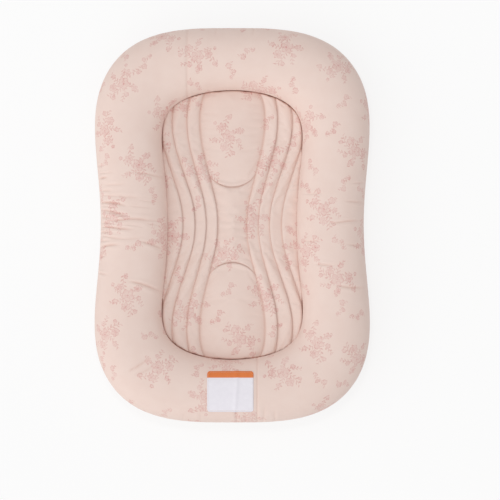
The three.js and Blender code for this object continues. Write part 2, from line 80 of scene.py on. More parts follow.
outerOutline = outlineOf(cadHigh.y - cadLow.y, plan["outerSpan"], plan["outerPowers"])
innerOutline = outlineOf(
    outerOutline["length"] - 2 * plan["rimWidthAtEnds"],
    plan["outerSpan"] - 2 * plan["rimWidthAtSides"], plan["innerPowers"])
middleOutline = outlineOf(
    (outerOutline["length"] + innerOutline["length"]) / 2,
    (outerOutline["span"] + innerOutline["span"]) / 2,
    [(a + b) / 2 for a, b in zip(plan["outerPowers"], plan["innerPowers"])])


def halfWidth(outline, y):
    away = np.minimum(np.abs(y) / (outline["length"] / 2), 1)
    across, along = outline["powers"]
    bell = (1 + np.cos(np.pi * np.minimum(np.abs(y) / plan["waistReach"], 1))) / 2
    return (1 - away ** along) ** (1 / across) * (outline["span"] / 2 - plan["waistDepth"] * bell)


def reachOf(outline, places, directions, furthest):
    # how far the outline lies from each place, by halving the step
    near = np.zeros(len(places))
    startsInside = np.abs(places[:, 0]) < halfWidth(outline, places[:, 1])
    step = furthest
    for _ in range(plan["outlineHalvings"]):
        step /= 2
        tried = places + directions * (near + step)[:, None]
        inside = np.abs(tried[:, 0]) < halfWidth(outline, tried[:, 1])
        near = np.where(inside == startsInside, near + step, near)
    return near


def ringStations(count):
    # places round the ring: the well's seam, the way out from it, the rim's width there, and how far
    # round the place lies
    turn = np.linspace(0, 2 * np.pi, plan["walkPoints"])
    rays = np.stack([np.cos(turn), np.sin(turn)], 1)
    walk = rays * reachOf(middleOutline, rays * 0, rays, outerOutline["length"])[:, None]
    steps = np.linalg.norm(np.diff(walk, axis=0), axis=1)
    travelled = np.concatenate([[0], np.cumsum(steps)])
    waist = 1 - smooth(*plan["crowdedWaist"], np.abs(walk[1:, 1]))
    atMiddle = 1 - smooth(*plan["crowdedAcross"], np.abs(walk[1:, 0]))
    foot = smooth(*plan["crowdedFoot"], -walk[1:, 1]) * atMiddle
    crowded = np.concatenate([[0], np.cumsum(steps * (1 + plan["crowding"] * (waist + foot)))])
    target = np.interp(np.linspace(0, crowded[-1], count + 1)[:-1], crowded, travelled)
    place = np.stack([np.interp(target, travelled, walk[:, k]) for k in (0, 1)], 1)
    ahead = np.roll(place, -1, axis=0) - np.roll(place, 1, axis=0)
    outward = np.stack([ahead[:, 1], -ahead[:, 0]], 1)
    outward /= np.linalg.norm(outward, axis=1)[:, None]
    toInner = reachOf(innerOutline, place, -outward, plan["widestReach"])
    toOuter = reachOf(outerOutline, place, outward, plan["widestReach"])
    return place - outward * toInner[:, None], outward, toInner + toOuter, target / travelled[-1]


def linearColour(hexColour):
    parts = [int(hexColour[i:i + 2], 16) / 255 for i in (1, 3, 5)]
    linear = [p / 12.92 if p <= 0.04045 else ((p + 0.055) / 1.055) ** 2.4 for p in parts]
    return (*linear, 1)


def addNode(tree, kind, inputs=None, **settings):
    # an input may be a value, a socket, or a node whose first output is meant
    node = tree.nodes.new("ShaderNode" + kind)
    for name, value in settings.items():
        setattr(node, name, value)
    for key, value in (inputs or {}).items():
        if isinstance(value, bpy.types.Node):
            value = value.outputs[0]
        if isinstance(value, bpy.types.NodeSocket):
            tree.links.new(value, node.inputs[key])
        else:
            node.inputs[key].default_value = value
    return node


def newMaterial(name, shader):
    material = bpy.data.materials.new(name)
    material.use_nodes = True
    tree = material.node_tree
    tree.nodes.clear()
    principled = addNode(tree, "BsdfPrincipled", shader)
    addNode(tree, "OutputMaterial", {"Surface": principled})
    return material, tree, principled


def smooth(edgeLow, edgeHigh, value):
    t = np.clip((value - edgeLow) / (edgeHigh - edgeLow), 0, 1)
    return t * t * (3 - 2 * t)


seedStep = (7.3, 3.1, 5.7)  # how far each seed moves the random hills


def cloudy(points, size, seed):
    # soft random hills about one size across, from -1 to 1
    shift = Vector([seed * step for step in seedStep])
    hills = [noise.noise(Vector(point) / size + shift) for point in points.reshape(-1, 3)]
    return np.array(hills).reshape(points.shape[:-1])


def shownObject(name, data):
    obj = bpy.data.objects.new(name, data)
    bpy.context.scene.collection.objects.link(obj)
    return obj


def smoothPiece(name, bm):
    for face in bm.faces:
        face.smooth = True
    mesh = bpy.data.meshes.new(name)
    bm.to_mesh(mesh)
    bm.free()
    return shownObject(name, mesh)


def gridPiece(name, table, cloth, facing, closedRing=False, fold=None):
    # a grid moved to a table of places; cloth holds each place's spot on the flat cloth, and fold the
    # strength of the painted shade where it lies deep in a seam or a crease
    columns, rows = table.shape[0] - (0 if closedRing else 1), table.shape[1] - 1
    if closedRing:
        table = np.concatenate([table, table[:1]])
        cloth = np.concatenate([cloth, cloth[:1]])
        fold = None if fold is None else np.concatenate([fold, fold[:1]])
    bm = bmesh.new()
    bmesh.ops.create_grid(bm, x_segments=columns, y_segments=rows, size=1)
    mesh = bpy.data.meshes.new(name)
    bm.to_mesh(mesh)
    start = np.empty(len(mesh.vertices) * 3)
    mesh.vertices.foreach_get("co", start)
    start = start.reshape(-1, 3)
    i = np.rint((start[:, 0] + 1) / 2 * columns).astype(int)
    j = np.rint((start[:, 1] + 1) / 2 * rows).astype(int)
    mesh.vertices.foreach_set("co", table[i, j].ravel())
    spots = mesh.attributes.new("cloth", "FLOAT_VECTOR", "POINT")
    spots.data.foreach_set("vector", cloth[i, j].ravel())
    if fold is not None:
        deep = mesh.attributes.new("fold", "FLOAT", "POINT")
        deep.data.foreach_set("value", fold[i, j].ravel())
    index = mesh.attributes.new("gridSpot", "INT", "POINT")
    index.data.foreach_set("value", (i * (rows + 1) + j).astype(np.int32))
    bm.clear()
    bm.from_mesh(mesh)
    bmesh.ops.remove_doubles(bm, verts=bm.verts, dist=mergeWithin)
    total = Vector()
    for face in bm.faces:
        total += face.normal * face.calc_area()
    if total.dot(facing) < 0:
        bmesh.ops.reverse_faces(bm, faces=bm.faces)
    for face in bm.faces:
        face.smooth = True
    bm.to_mesh(mesh)
    bm.free()
    return shownObject(name, mesh)


def dress(obj, material, body="lounger"):
    obj.data.materials.clear()
    obj.data.materials.append(material)
    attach(obj, body)


def thicken(obj, thickness):
    wall = obj.modifiers.new("clothThickness", "SOLIDIFY")
    wall.thickness = thickness
    wall.offset = -1
    wall.use_quality_normals = True
    wall.use_rim = True


def flatSpots(table):
    # the spots on the flat cloth, for a piece that lies almost flat
    return table * np.array([1, 1, 0])


def lengthAlong(points):
    # how far each of a row of points lies along it
    steps = np.linalg.norm(np.diff(points, axis=0), axis=1)
    return np.concatenate([[0], np.cumsum(steps)])


def ringNormals(table):
    # the normals of a ring's table of places, from the differences between neighbours
    along = np.roll(table, -1, axis=0) - np.roll(table, 1, axis=0)
    across = np.gradient(table, axis=1)
    normals = np.cross(along, across)
    return normals / np.maximum(np.linalg.norm(normals, axis=2)[..., None], 1e-12)


print("stage: materials")

# a real thread is 0.3 mm, too fine to show; one wave covers two threads
weave = {
    "thread": 0.9 * mm, "waveScale": 0.16, "slub": 14 * mm, "slubShare": 1.5, "height": 0.12 * mm,
    "dyePatch": 22 * mm,
}


def clothSpot(tree):
    return addNode(tree, "Attribute", attribute_name="cloth").outputs["Vector"]


def weaveBump(tree, shader, spot, strength, thread):
    # plain weave: warp and weft as two crossing waves, uneven where a thread runs thick
    waves = []
    for direction in ("X", "Y"):
        waves.append(addNode(
            tree, "TexWave",
            {"Vector": spot, "Scale": weave["waveScale"] / thread, "Distortion": 0.6, "Detail": 1},
            bands_direction=direction).outputs["Fac"])
    crossed = addNode(tree, "Math", {0: waves[0], 1: waves[1]}, operation="MULTIPLY")
    slubs = addNode(tree, "TexNoise", {"Vector": spot, "Scale": 1 / weave["slub"], "Detail": 3})
    uneven = addNode(
        tree, "Math", {0: slubs, 1: weave["slubShare"], 2: crossed}, operation="MULTIPLY_ADD")
    bump = addNode(tree, "Bump", {"Strength": strength, "Distance": weave["height"], "Height": uneven})
    tree.links.new(bump.outputs[0], shader.inputs["Normal"])


# The print: loose sprays of small flowers on leafy stems, with single sprigs between them. The lists
# give millimetres from the middle of a spray.
floral = {
    "spray": {"cell": 108 * mm, "jitter": 0.3, "reach": 52 * mm},
    "sprig": {"cell": 54 * mm, "jitter": 0.7, "luck": 0.12},
    "tilt": 0.55, "fullTurn": 6.28, "line": 0.45 * mm, "sway": 1.5 * mm, "swaySize": 8 * mm,
    "wash": 0.34, "vein": (0.05, 0.2),  # a vein runs out from the dip between two petals
    # where a drawn line is full and where it has gone, as shares of the line's width
    "petalPen": (0.5, 1.9), "innerPen": (0.5, 1.7), "stemPen": (0.4, 1.6),
    # a flower's parts as shares of its radius, and a leaf's as shares of its length
    "petal": (0.34, 0.66), "innerPetal": (-0.2, 0.52), "eye": (0.12, 0.24), "doubleFrom": 5,
    "leafLift": 0.85, "leafTurn": -0.9, "leafSlim": 2.6, "leafSolid": 0.7,
}
sprayFlowers = [  # across, along, radius, petals
    (1, 1, 11.5, 5), (20, -9, 8, 6), (-18, -9, 7, 5), (-7, 21, 6, 5), (11, 19, 4.2, 5),
    (33, 6, 3.8, 5), (-33, 6, 3.6, 5), (5, -25, 4.2, 5), (-26, -22, 3, 5),
]
sprayStems = [  # turn, sway, wave, middle, half length, leaf spacing, leaf length
    (0.12, 5.0, 12, 0, 40, 7.5, 3.6), (1.35, 3.5, 9, 2, 34, 6.5, 3.1), (-0.75, 3.5, 10, 4, 32, 6.2, 2.8),
]
sprigFlowers = [(9, 4, 4.8, 5), (-2, -5, 3.2, 5), (-12, 2, 2.6, 5)]
sprigStems = [(0.1, 2.4, 5, -1, 17, 4.6, 2.6)]


def scattered(tree, spot, layer):
    # the spot as seen from the nearest motif's middle, that middle, and the motif's luck
    found = addNode(
        tree, "TexVoronoi", {"Vector": spot, "Scale": 1 / layer["cell"], "Randomness": layer["jitter"]},
        voronoi_dimensions="2D")
    middle = found.outputs["Position"]
    luck = addNode(tree, "SeparateColor", {0: found.outputs["Color"]}).outputs
    turn = addNode(tree, "Math", {0: luck[1], 1: floral["fullTurn"]}, operation="MULTIPLY")
    inside = addNode(tree, "VectorMath", {0: spot, 1: middle}, operation="SUBTRACT")
    inside = addNode(tree, "VectorRotate", {"Vector": inside, "Angle": turn}, rotation_type="Z_AXIS")
    return inside, middle, luck


def penStroke(tree, offEdge, pen):
    # a line drawn along an edge: full close to it on both sides, and gone past the pen's width
    away = addNode(tree, "Math", {0: offEdge}, operation="ABSOLUTE")
    full, gone = (share * floral["line"] for share in floral[pen])
    return addNode(
        tree, "MapRange", {0: away, 1: full, 2: gone, 3: 1.0, 4: 0.0}, interpolation_type="SMOOTHSTEP")


def flowerOf(tree, local, flower):
    # scalloped petals in fine line over a pale wash; the larger flowers have a second ring of petals
    x, y, radius, petals = flower
    size = radius * mm
    petal, innerPetal, eye = (
        [share * size for share in floral[part]] for part in ("petal", "innerPetal", "eye"))
    seen = addNode(tree, "VectorMath", {0: local, 1: (x * mm, y * mm, 0)}, operation="SUBTRACT")
    away = addNode(tree, "VectorMath", {0: seen}, operation="LENGTH").outputs["Value"]
    parts = addNode(tree, "SeparateXYZ", {0: seen}).outputs
    angle = addNode(tree, "Math", {0: parts[1], 1: parts[0]}, operation="ARCTAN2")
    turned = addNode(tree, "Math", {0: angle, 1: petals / 2, 2: x}, operation="MULTIPLY_ADD")
    wave = addNode(tree, "Math", {0: turned}, operation="COSINE")
    wave = addNode(tree, "Math", {0: wave}, operation="ABSOLUTE")
    edge = addNode(tree, "Math", {0: wave, 1: petal[0], 2: petal[1]}, operation="MULTIPLY_ADD")
    past = addNode(tree, "Math", {0: away, 1: edge}, operation="SUBTRACT")
    wash = addNode(
        tree, "MapRange", {0: past, 1: 0.0, 2: 2 * floral["line"], 3: floral["wash"], 4: 0.0},
        interpolation_type="SMOOTHSTEP")
    outlined = penStroke(tree, past, "petalPen")
    drawn = addNode(tree, "Math", {0: outlined, 1: wash}, operation="MAXIMUM")
    centre = addNode(
        tree, "MapRange", {0: away, 1: eye[0], 2: eye[1], 3: 1.0, 4: 0.0},
        interpolation_type="SMOOTHSTEP")
    drawn = addNode(tree, "Math", {0: drawn, 1: centre}, operation="MAXIMUM")
    if radius < floral["doubleFrom"]:
        return drawn
    folded = addNode(
        tree, "Math", {0: wave, 1: innerPetal[0], 2: innerPetal[1]}, operation="MULTIPLY_ADD")
    ring = addNode(tree, "Math", {0: away, 1: folded}, operation="SUBTRACT")
    outside = addNode(tree, "Math", {0: ring, 1: 0.0}, operation="GREATER_THAN")
    within = addNode(tree, "Math", {0: past, 1: 0.0}, operation="LESS_THAN")
    veins = addNode(
        tree, "MapRange", {0: wave, 1: floral["vein"][0], 2: floral["vein"][1], 3: 1.0, 4: 0.0},
        interpolation_type="SMOOTHSTEP")
    for part in (outside, within):
        veins = addNode(tree, "Math", {0: veins, 1: part}, operation="MULTIPLY")
    innerRound = penStroke(tree, ring, "innerPen")
    inner = addNode(tree, "Math", {0: innerRound, 1: veins}, operation="MAXIMUM")
    return addNode(tree, "Math", {0: drawn, 1: inner}, operation="MAXIMUM")


def stemOf(tree, local, stem):
    # a waving stem with slim leaves by turns on either side
    turn, sway, wave, middle, half, spacing, leaf = stem
    turned = addNode(tree, "VectorRotate", {"Vector": local, "Angle": turn}, rotation_type="Z_AXIS")
    parts = addNode(tree, "SeparateXYZ", {0: turned}).outputs
    phase = addNode(tree, "Math", {0: parts[0], 1: 1 / (wave * mm)}, operation="MULTIPLY")
    bend = addNode(tree, "Math", {0: phase}, operation="SINE")
    out = addNode(tree, "Math", {0: bend, 1: -sway * mm, 2: parts[1]}, operation="MULTIPLY_ADD")
    stalk = penStroke(tree, out, "stemPen")
    aside = addNode(tree, "Math", {0: out}, operation="ABSOLUTE")
    side = addNode(tree, "Math", {0: out}, operation="SIGN")
    step = addNode(tree, "Math", {0: side, 1: spacing * mm / 4, 2: parts[0]}, operation="MULTIPLY_ADD")
    step = addNode(
        tree, "Math", {0: step, 1: spacing * mm / 2, 2: -spacing * mm / 2}, operation="WRAP")
    lift = addNode(tree, "Math", {0: aside, 1: floral["leafLift"] * leaf * mm}, operation="SUBTRACT")
    leafSpot = addNode(tree, "CombineXYZ", {0: step, 1: lift})
    leafSpot = addNode(
        tree, "VectorRotate", {"Vector": leafSpot, "Angle": floral["leafTurn"]}, rotation_type="Z_AXIS")
    slim = addNode(
        tree, "VectorMath", {0: leafSpot, 1: (1, floral["leafSlim"], 0)}, operation="MULTIPLY")
    away = addNode(tree, "VectorMath", {0: slim}, operation="LENGTH").outputs["Value"]
    blade = addNode(
        tree, "MapRange",
        {0: away, 1: floral["leafSolid"] * leaf * mm, 2: leaf * mm, 3: 1.0, 4: 0.0},
        interpolation_type="SMOOTHSTEP")
    whole = addNode(tree, "Math", {0: stalk, 1: blade}, operation="MAXIMUM")
    kept = addNode(
        tree, "Math", {0: parts[0], 1: middle * mm, 2: half * mm}, operation="COMPARE")
    return addNode(tree, "Math", {0: whole, 1: kept}, operation="MULTIPLY")


def motifOf(tree, local, flowers, stems):
    # the darkest of the flowers, and of the stems where no flower lies over them
    pink = flowerOf(tree, local, flowers[0])
    for flower in flowers[1:]:
        pink = addNode(tree, "Math", {0: pink, 1: flowerOf(tree, local, flower)}, operation="MAXIMUM")
    leafy = stemOf(tree, local, stems[0])
    for stem in stems[1:]:
        leafy = addNode(tree, "Math", {0: leafy, 1: stemOf(tree, local, stem)}, operation="MAXIMUM")
    clear = addNode(tree, "Math", {0: pink, 1: 0.05}, operation="LESS_THAN")
    leafy = addNode(tree, "Math", {0: leafy, 1: clear}, operation="MULTIPLY")
    return pink, leafy


def floralPrint(tree, spot):
    drift = addNode(
        tree, "TexNoise", {"Vector": spot, "Scale": 1 / floral["swaySize"], "Detail": 1},
        noise_dimensions="2D").outputs["Color"]
    drift = addNode(tree, "VectorMath", {0: drift, 1: (0.5, 0.5, 0.5)}, operation="SUBTRACT")
    sway = 2 * floral["sway"]
    drift = addNode(tree, "VectorMath", {0: drift, 1: (sway, sway, 0)}, operation="MULTIPLY")
    spot = addNode(tree, "VectorMath", {0: spot, 1: drift}, operation="ADD").outputs[0]
    spot = addNode(
        tree, "VectorRotate", {"Vector": spot, "Angle": floral["tilt"]}, rotation_type="Z_AXIS")
    sprayLocal, _, _ = scattered(tree, spot, floral["spray"])
    pink, leafy = motifOf(tree, sprayLocal, sprayFlowers, sprayStems)
    sprigLocal, middle, luck = scattered(tree, spot, floral["sprig"])
    sprigPink, sprigLeafy = motifOf(tree, sprigLocal, sprigFlowers, sprigStems)
    gap = scattered(tree, middle, floral["spray"])[0]
    gap = addNode(tree, "VectorMath", {0: gap}, operation="LENGTH").outputs["Value"]
    clear = addNode(tree, "Math", {0: gap, 1: floral["spray"]["reach"]}, operation="GREATER_THAN")
    lucky = addNode(tree, "Math", {0: luck[0], 1: floral["sprig"]["luck"]}, operation="GREATER_THAN")
    kept = addNode(tree, "Math", {0: clear, 1: lucky}, operation="MULTIPLY")
    pink = addNode(tree, "Math", {0: sprigPink, 1: kept, 2: pink}, operation="MULTIPLY_ADD")
    leafy = addNode(tree, "Math", {0: sprigLeafy, 1: kept, 2: leafy}, operation="MULTIPLY_ADD")
    return pink, leafy


cottonLook = {
    "ground": "#ecd8cf", "groundDeep": "#e7cfc5", "pink": "#cc7c7a", "leaf": "#cf918b",
    "cloud": 26 * mm, "rub": 4.5 * mm, "pinkInk": 0.74, "leafInk": 0.72,
    # painted shade: a darker, warmer colour laid into creases, seams and stitched lines where shade falls,
    # and its strength
    "paintedFoldShade": "#c98d77", "foldShare": 0.85, "weave": 0.3,
    # where the rubbed and the faded patches start and end, and the ink left in them
    "worn": (0.32, 0.62, 0.3, 1.0), "faded": (0.3, 0.65, 0.5, 1.0),
}


def makePrintedCotton():
    # printed cotton poplin, washed soft: matt, with a faded print and a faint bloom of fibres
    material, tree, shader = newMaterial("printedCottonPoplin", {
        "Roughness": 0.9, "Specular IOR Level": 0.25, "Sheen Weight": 0.1, "Sheen Roughness": 0.5})
    spot = clothSpot(tree)
    pink, leaf = floralPrint(tree, spot)
    cloud = addNode(tree, "TexNoise", {"Vector": spot, "Scale": 1 / cottonLook["cloud"], "Detail": 4})
    colour = addNode(
        tree, "Mix", {0: cloud, 6: linearColour(cottonLook["ground"]),
                      7: linearColour(cottonLook["groundDeep"])}, data_type="RGBA")
    rubbed = addNode(tree, "TexNoise", {"Vector": spot, "Scale": 1 / cottonLook["rub"], "Detail": 2})
    worn = addNode(tree, "MapRange", {0: rubbed, **dict(enumerate(cottonLook["worn"], 1))})
    faded = addNode(tree, "MapRange", {0: cloud, **dict(enumerate(cottonLook["faded"], 1))})
    left = addNode(tree, "Math", {0: worn, 1: faded}, operation="MULTIPLY")
    fold = addNode(tree, "Attribute", attribute_name="fold").outputs["Fac"]
    leafed = addNode(tree, "Math", {0: leaf, 1: left}, operation="MULTIPLY")
    inked = addNode(tree, "Math", {0: pink, 1: left}, operation="MULTIPLY")
    # over the ground come the painted shade in the folds and seams, the leaves and the flowers
    layers = [
        (fold, "foldShare", "paintedFoldShade"), (leafed, "leafInk", "leaf"), (inked, "pinkInk", "pink")]
    for drawn, strength, shade in layers:
        share = addNode(tree, "Math", {0: drawn, 1: cottonLook[strength]}, operation="MULTIPLY")
        colour = addNode(
            tree, "Mix", {0: share, 6: colour.outputs[2], 7: linearColour(cottonLook[shade])},
            data_type="RGBA")
    tree.links.new(colour.outputs[2], shader.inputs["Base Color"])
    weaveBump(tree, shader, spot, cottonLook["weave"], weave["thread"])
    return material


def mottled(name, pattern, light, deep, settings):
    # a finish whose colour wanders between two shades
    material, tree, shader = newMaterial(name, settings)
    spot = addNode(tree, "TexCoord").outputs["Object"]
    shade = addNode(tree, "TexNoise", {"Vector": spot, "Scale": 1 / pattern, "Detail": 4})
    colour = addNode(
        tree, "Mix", {0: shade, 6: linearColour(light), 7: linearColour(deep)}, data_type="RGBA")
    tree.links.new(colour.outputs[2], shader.inputs["Base Color"])
    return material, tree, shader, spot, shade


def makePlainCloth(name, light, deep, roughness, thread, strength=0.4):
    # undyed or plain dyed cloth: matt, with uneven thread and slight shade from the dye
    material, tree, shader, spot, _ = mottled(name, weave["dyePatch"], light, deep, {
        "Roughness": roughness, "Specular IOR Level": 0.25, "Sheen Weight": 0.1, "Sheen Roughness": 0.5})
    weaveBump(tree, shader, spot, strength, thread)
    return material


def makeThread():
    # spun polyester thread: a soft shine along twisted plies
    return mottled("spunThread", 2 * mm, "#ecd6cb", "#d3b0a5", {"Roughness": 0.6, "Sheen Weight": 0.2})[0]


def makeNylon():
    # dyed nylon monofilament: smooth and faintly clear, with a small bright highlight
    return mottled("dyedNylon", 1.2 * mm, "#e5cdc2", "#d6b7aa", {
        "Roughness": 0.38, "IOR": 1.53, "Subsurface Weight": 0.1, "Subsurface Scale": 1 * mm})[0]


zincLook = {"rough": (0.3, 0.7, 0.28, 0.5), "bump": 0.15, "depth": 0.05 * mm}


def makeZinc():
    # die-cast zinc under a thin lacquer: a satin metal, mottled by the casting
    material, tree, shader, _, mottle = mottled("lacqueredZinc", 1.5 * mm, "#dac8bd", "#baa398", {
        "Metallic": 0.75, "Coat Weight": 0.3})
    rough = addNode(tree, "MapRange", {0: mottle, **dict(enumerate(zincLook["rough"], 1))})
    tree.links.new(rough.outputs[0], shader.inputs["Roughness"])
    bump = addNode(
        tree, "Bump",
        {"Strength": zincLook["bump"], "Distance": zincLook["depth"], "Height": mottle})
    tree.links.new(bump.outputs[0], shader.inputs["Normal"])
    return material


printedCotton = makePrintedCotton()
plainCotton = makePlainCloth("plainCottonPoplin", "#eddcd2", "#e4d0c6", 0.92, 0.9 * mm)
muslin = makePlainCloth("unbleachedMuslin", "#f0eade", "#e6ddcd", 0.95, 1.1 * mm)
fibre = makePlainCloth("polyesterFibre", "#f6f5f2", "#eceae4", 1.0, 3 * mm)
zipCloth = makePlainCloth("wovenZipTape", "#dfc8bd", "#d2b8ac", 0.8, 1.2 * mm, 0.8)
spunThread = makeThread()
nylon = makeNylon()
zinc = makeZinc()

print("stage: rim")

# The rim's section runs from the tuck at the well's seam, over the crown, to the outer seam and under.
rimLook = {
    "around": 1400, "topRows": 60, "undersideRows": 40, "power": 2.2, "cloth": 1.2 * mm,
    "tuckTop": 66 * mm, "tuckDepth": 9 * mm, "tuckBack": 3.5 * mm,
    "seamPinch": 1.4 * mm, "seamPinchSize": 2.6 * mm,
    "lumps": 0.9 * mm, "lumpSize": 80 * mm, "ripples": 0.3 * mm, "rippleSize": 20 * mm,
    "puckers": 0.16 * mm, "puckerSize": 9 * mm, "puckersFrom": (0.75, 0.95),
    # painted shade: in the creases, full where one lies this deep and at this share, and along the tuck at
    # the well's seam, fading out across these shares of the width
    "paintedShadeFullDepth": 2.4 * mm, "foldShare": 0.3,
    "paintedTuckShade": 0.5, "paintedTuckFade": (0.03, 0.07), "heldAtWell": 0.12, "heldAtSeam": (0.88, 0.98),
    "usualWidth": 123 * mm, "curvePoints": 361, "tuckPoints": 24, "spareCloth": 0.8,
    "pressedFlat": 0.5 * mm, "lowest": 0.1 * mm, "clearOfFloor": (2 * mm, 14 * mm),
    "undersideLumps": 0.8 * mm, "undersideLumpSize": 60 * mm, "undersideHeld": 0.1,
}
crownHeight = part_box("cover_rim_top")[1].z
outerSeamHeight = (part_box("cover_rim_top")[0].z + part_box("cover_rim_underside")[1].z) / 2
baseSeamHeight = (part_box("base_panel_left")[0].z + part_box("base_panel_left")[1].z) / 2
wellSeam, outward, rimWidth, wayRound = ringStations(rimLook["around"])


def evenly(profile, count):
    # a profile's points respaced to even steps along it
    travelled = lengthAlong(profile[:, :2])
    target = np.linspace(0, travelled[-1], count + 1)
    return np.stack([np.interp(target, travelled, profile[:, k]) for k in range(profile.shape[1])], 1)


def sectionProfile(side, depth=0.0):
    # columns: place across for a usual width, height, share of the width, and what is added to it
    angle = np.linspace(0, np.pi, rimLook["curvePoints"])
    across = np.sign(np.cos(angle)) * np.abs(np.cos(angle)) ** (2 / rimLook["power"])
    rise = np.abs(np.sin(angle)) ** (2 / rimLook["power"])
    inner = angle < np.pi / 2
    if side == "top":
        low = np.where(inner, rimLook["tuckTop"], outerSeamHeight)
        height = low + (crownHeight - depth - low) * rise
    else:
        low = np.where(inner, baseSeamHeight, outerSeamHeight)
        height = np.maximum(low + (depth - rimLook["pressedFlat"] - low) * rise, depth)
    share = (1 - across) / 2
    extra = across * depth
    if side == "top":
        fold = np.linspace(0, np.pi / 2, rimLook["tuckPoints"])[:-1]
        height = np.concatenate([rimLook["tuckTop"] - rimLook["tuckDepth"] * np.cos(fold), height])
        share = np.concatenate([fold * 0, share])
        extra = np.concatenate([rimLook["tuckBack"] * (1 - np.sin(fold)) + depth, extra])
    nearSeam = np.exp(-((height - outerSeamHeight) / rimLook["seamPinchSize"]) ** 2)
    extra = extra - rimLook["seamPinch"] * nearSeam * (share > 0.5)
    return np.stack([share * rimLook["usualWidth"] + extra, height, share, extra], 1)


def ringTable(profile):
    out = rimWidth[:, None] * profile[None, :, 2] + profile[None, :, 3]
    flat = wellSeam[:, None, :] + outward[:, None, :] * out[..., None]
    height = np.broadcast_to(profile[None, :, 1], out.shape)
    return np.concatenate([flat, height[..., None]], axis=2)


def ringCloth(table, profile):
    # the spot on the flat cloth: from the crown both ways, mostly by the length over the curve
    crown = np.argmax(profile[:, 1])
    length = lengthAlong(profile[:, :2])
    curve = length - length[crown]
    flat = profile[:, 0] - profile[crown, 0]
    spare = (curve - flat) * rimLook["spareCloth"]
    spots = table.copy()
    spots[..., :2] += outward[:, None, :] * spare[None, :, None]
    spots[..., 2] = 0
    return spots


# Creases in the rim's cover: from, to, half width and depth in millimetres, seen from above.
rimCreases = [
    (-248, 86, -229, 85, 2.6, 1.6), (-184, 93, -122, 89, 3.0, 1.3), (-246, 60, -220, 62, 2.4, 0.9),
    (-248, 41, -190, 33, 2.9, 2.2), (-247, 26, -186, 16, 2.9, 2.0), (-246, 12, -220, 11, 2.4, 1.2),
    (-236, 7, -120, 8, 3.3, 1.6), (-247, -7, -176, -8, 2.8, 2.0), (-247, -16, -220, -15, 2.4, 1.3),
    (-248, -42, -204, -39, 2.7, 1.6), (-172, -29, -124, -49, 3.0, 1.6), (-249, -60, -232, -57, 2.4, 0.9),
    (-192, -105, -124, -124, 3.2, 1.8), (-252, -90, -228, -92, 2.4, 0.9), (-254, 108, -236, 106, 2.4, 0.9),
    (-196, -274, -146, -242, 3.0, 1.5), (-182, -280, -140, -258, 2.8, 1.1), (-225, 52, -160, 50, 3.4, 0.7),
    (-232, -28, -150, -24, 3.6, 0.7), (-238, 72, -190, 76, 3.0, 0.7),
    (-247, 52, -205, 50, 1.8, 0.7), (-246, 33, -205, 31, 1.8, 0.8), (-246, 21, -208, 20, 1.8, 0.8),
    (-215, 18, -178, 14, 1.8, 0.6), (-246, 2, -205, 1, 1.8, 0.8), (-205, -3, -160, -5, 1.8, 0.6),
    (-246, -11, -212, -10, 1.8, 0.8), (-246, -23, -205, -25, 1.8, 0.8), (-248, -31, -225, -32, 1.8, 0.7),
    (-190, 31, -140, 32, 2.0, 0.5), (-175, 44, -130, 42, 2.0, 0.5), (-250, 97, -215, 95, 1.8, 0.6),
    (176, 3, 244, 5, 2.9, 1.4), (152, -76, 192, -75, 2.9, 1.3), (188, -113, 250, -117, 3.1, 1.5),
    (208, 40, 246, 42, 2.7, 1.0), (210, -36, 246, -39, 2.7, 1.0), (220, 74, 250, 76, 2.5, 0.8),
    (132, 55, 170, 59, 3.0, 0.8), (128, -30, 168, -34, 3.0, 0.8), (-133, -2, -166, 0, 2.8, 0.9),
    (11, -372, 9, -336, 3.4, 0.8), (56, -371, 59, -332, 3.4, 0.5), (24, -372, 27, -350, 3.0, 0.6),
    (82, -370, 77, -338, 3.4, 0.5), (-60, -371, -55, -342, 3.4, 0.4), (-96, -367, -86, -344, 3.4, 0.3),
    (40, 371, 36, 346, 2.6, 0.8), (-28, 371, -30, 348, 2.4, 0.7),
]
# A crease sways a little, fades in and out along its length, widens, and has a raised edge each side.
creaseLook = {
    "depth": 1.35, "sway": 1.8 * mm, "swayLength": 15 * mm, "swayStart": 900, "start": (-0.05, 0.3),
    "end": (0.55, 1.05), "width": 0.8, "widens": 0.6, "valley": 0.55, "sharpness": 1.3,
    "shoulder": 0.34, "shoulderPlace": 1.7, "shoulderSize": 0.9,
}
rimSeams = {
    "footSeam": 46.5 * mm, "headSeam": -83 * mm, "depth": 1.1 * mm, "size": 2.0 * mm,
    "from": (100 * mm, 200 * mm),
}
# Tucks along the outer seam: waves round the ring, how far slower waves bend them, those, and a share.
tuckWaves = [(131, 2.1, 17, 0.6), (83, 1.3, 11, 0.4)]


def creaseHeight(table, crease):
    x0, y0, x1, y1, size, depth = (value * mm for value in crease)
    start, end = np.array([x0, y0]), np.array([x1, y1])
    length = np.linalg.norm(end - start)
    ahead = (end - start) / length
    offset = table[..., :2] - start
    along = offset @ ahead
    aside = offset @ np.array([-ahead[1], ahead[0]])
    look = creaseLook
    aside = aside + look["sway"] * np.sin(along / look["swayLength"] + x0 * look["swayStart"])
    taper = smooth(*look["start"], along / length) * (1 - smooth(*look["end"], along / length))
    size = size * (look["width"] + look["widens"] * np.clip(along / length, 0, 1))
    valley = np.exp(-(np.abs(aside) / (look["valley"] * size)) ** look["sharpness"])
    beside = np.abs(aside) - look["shoulderPlace"] * size
    shoulders = np.exp(-(beside / (look["shoulderSize"] * size)) ** 2)
    return look["depth"] * depth * taper * (look["shoulder"] * shoulders - valley)


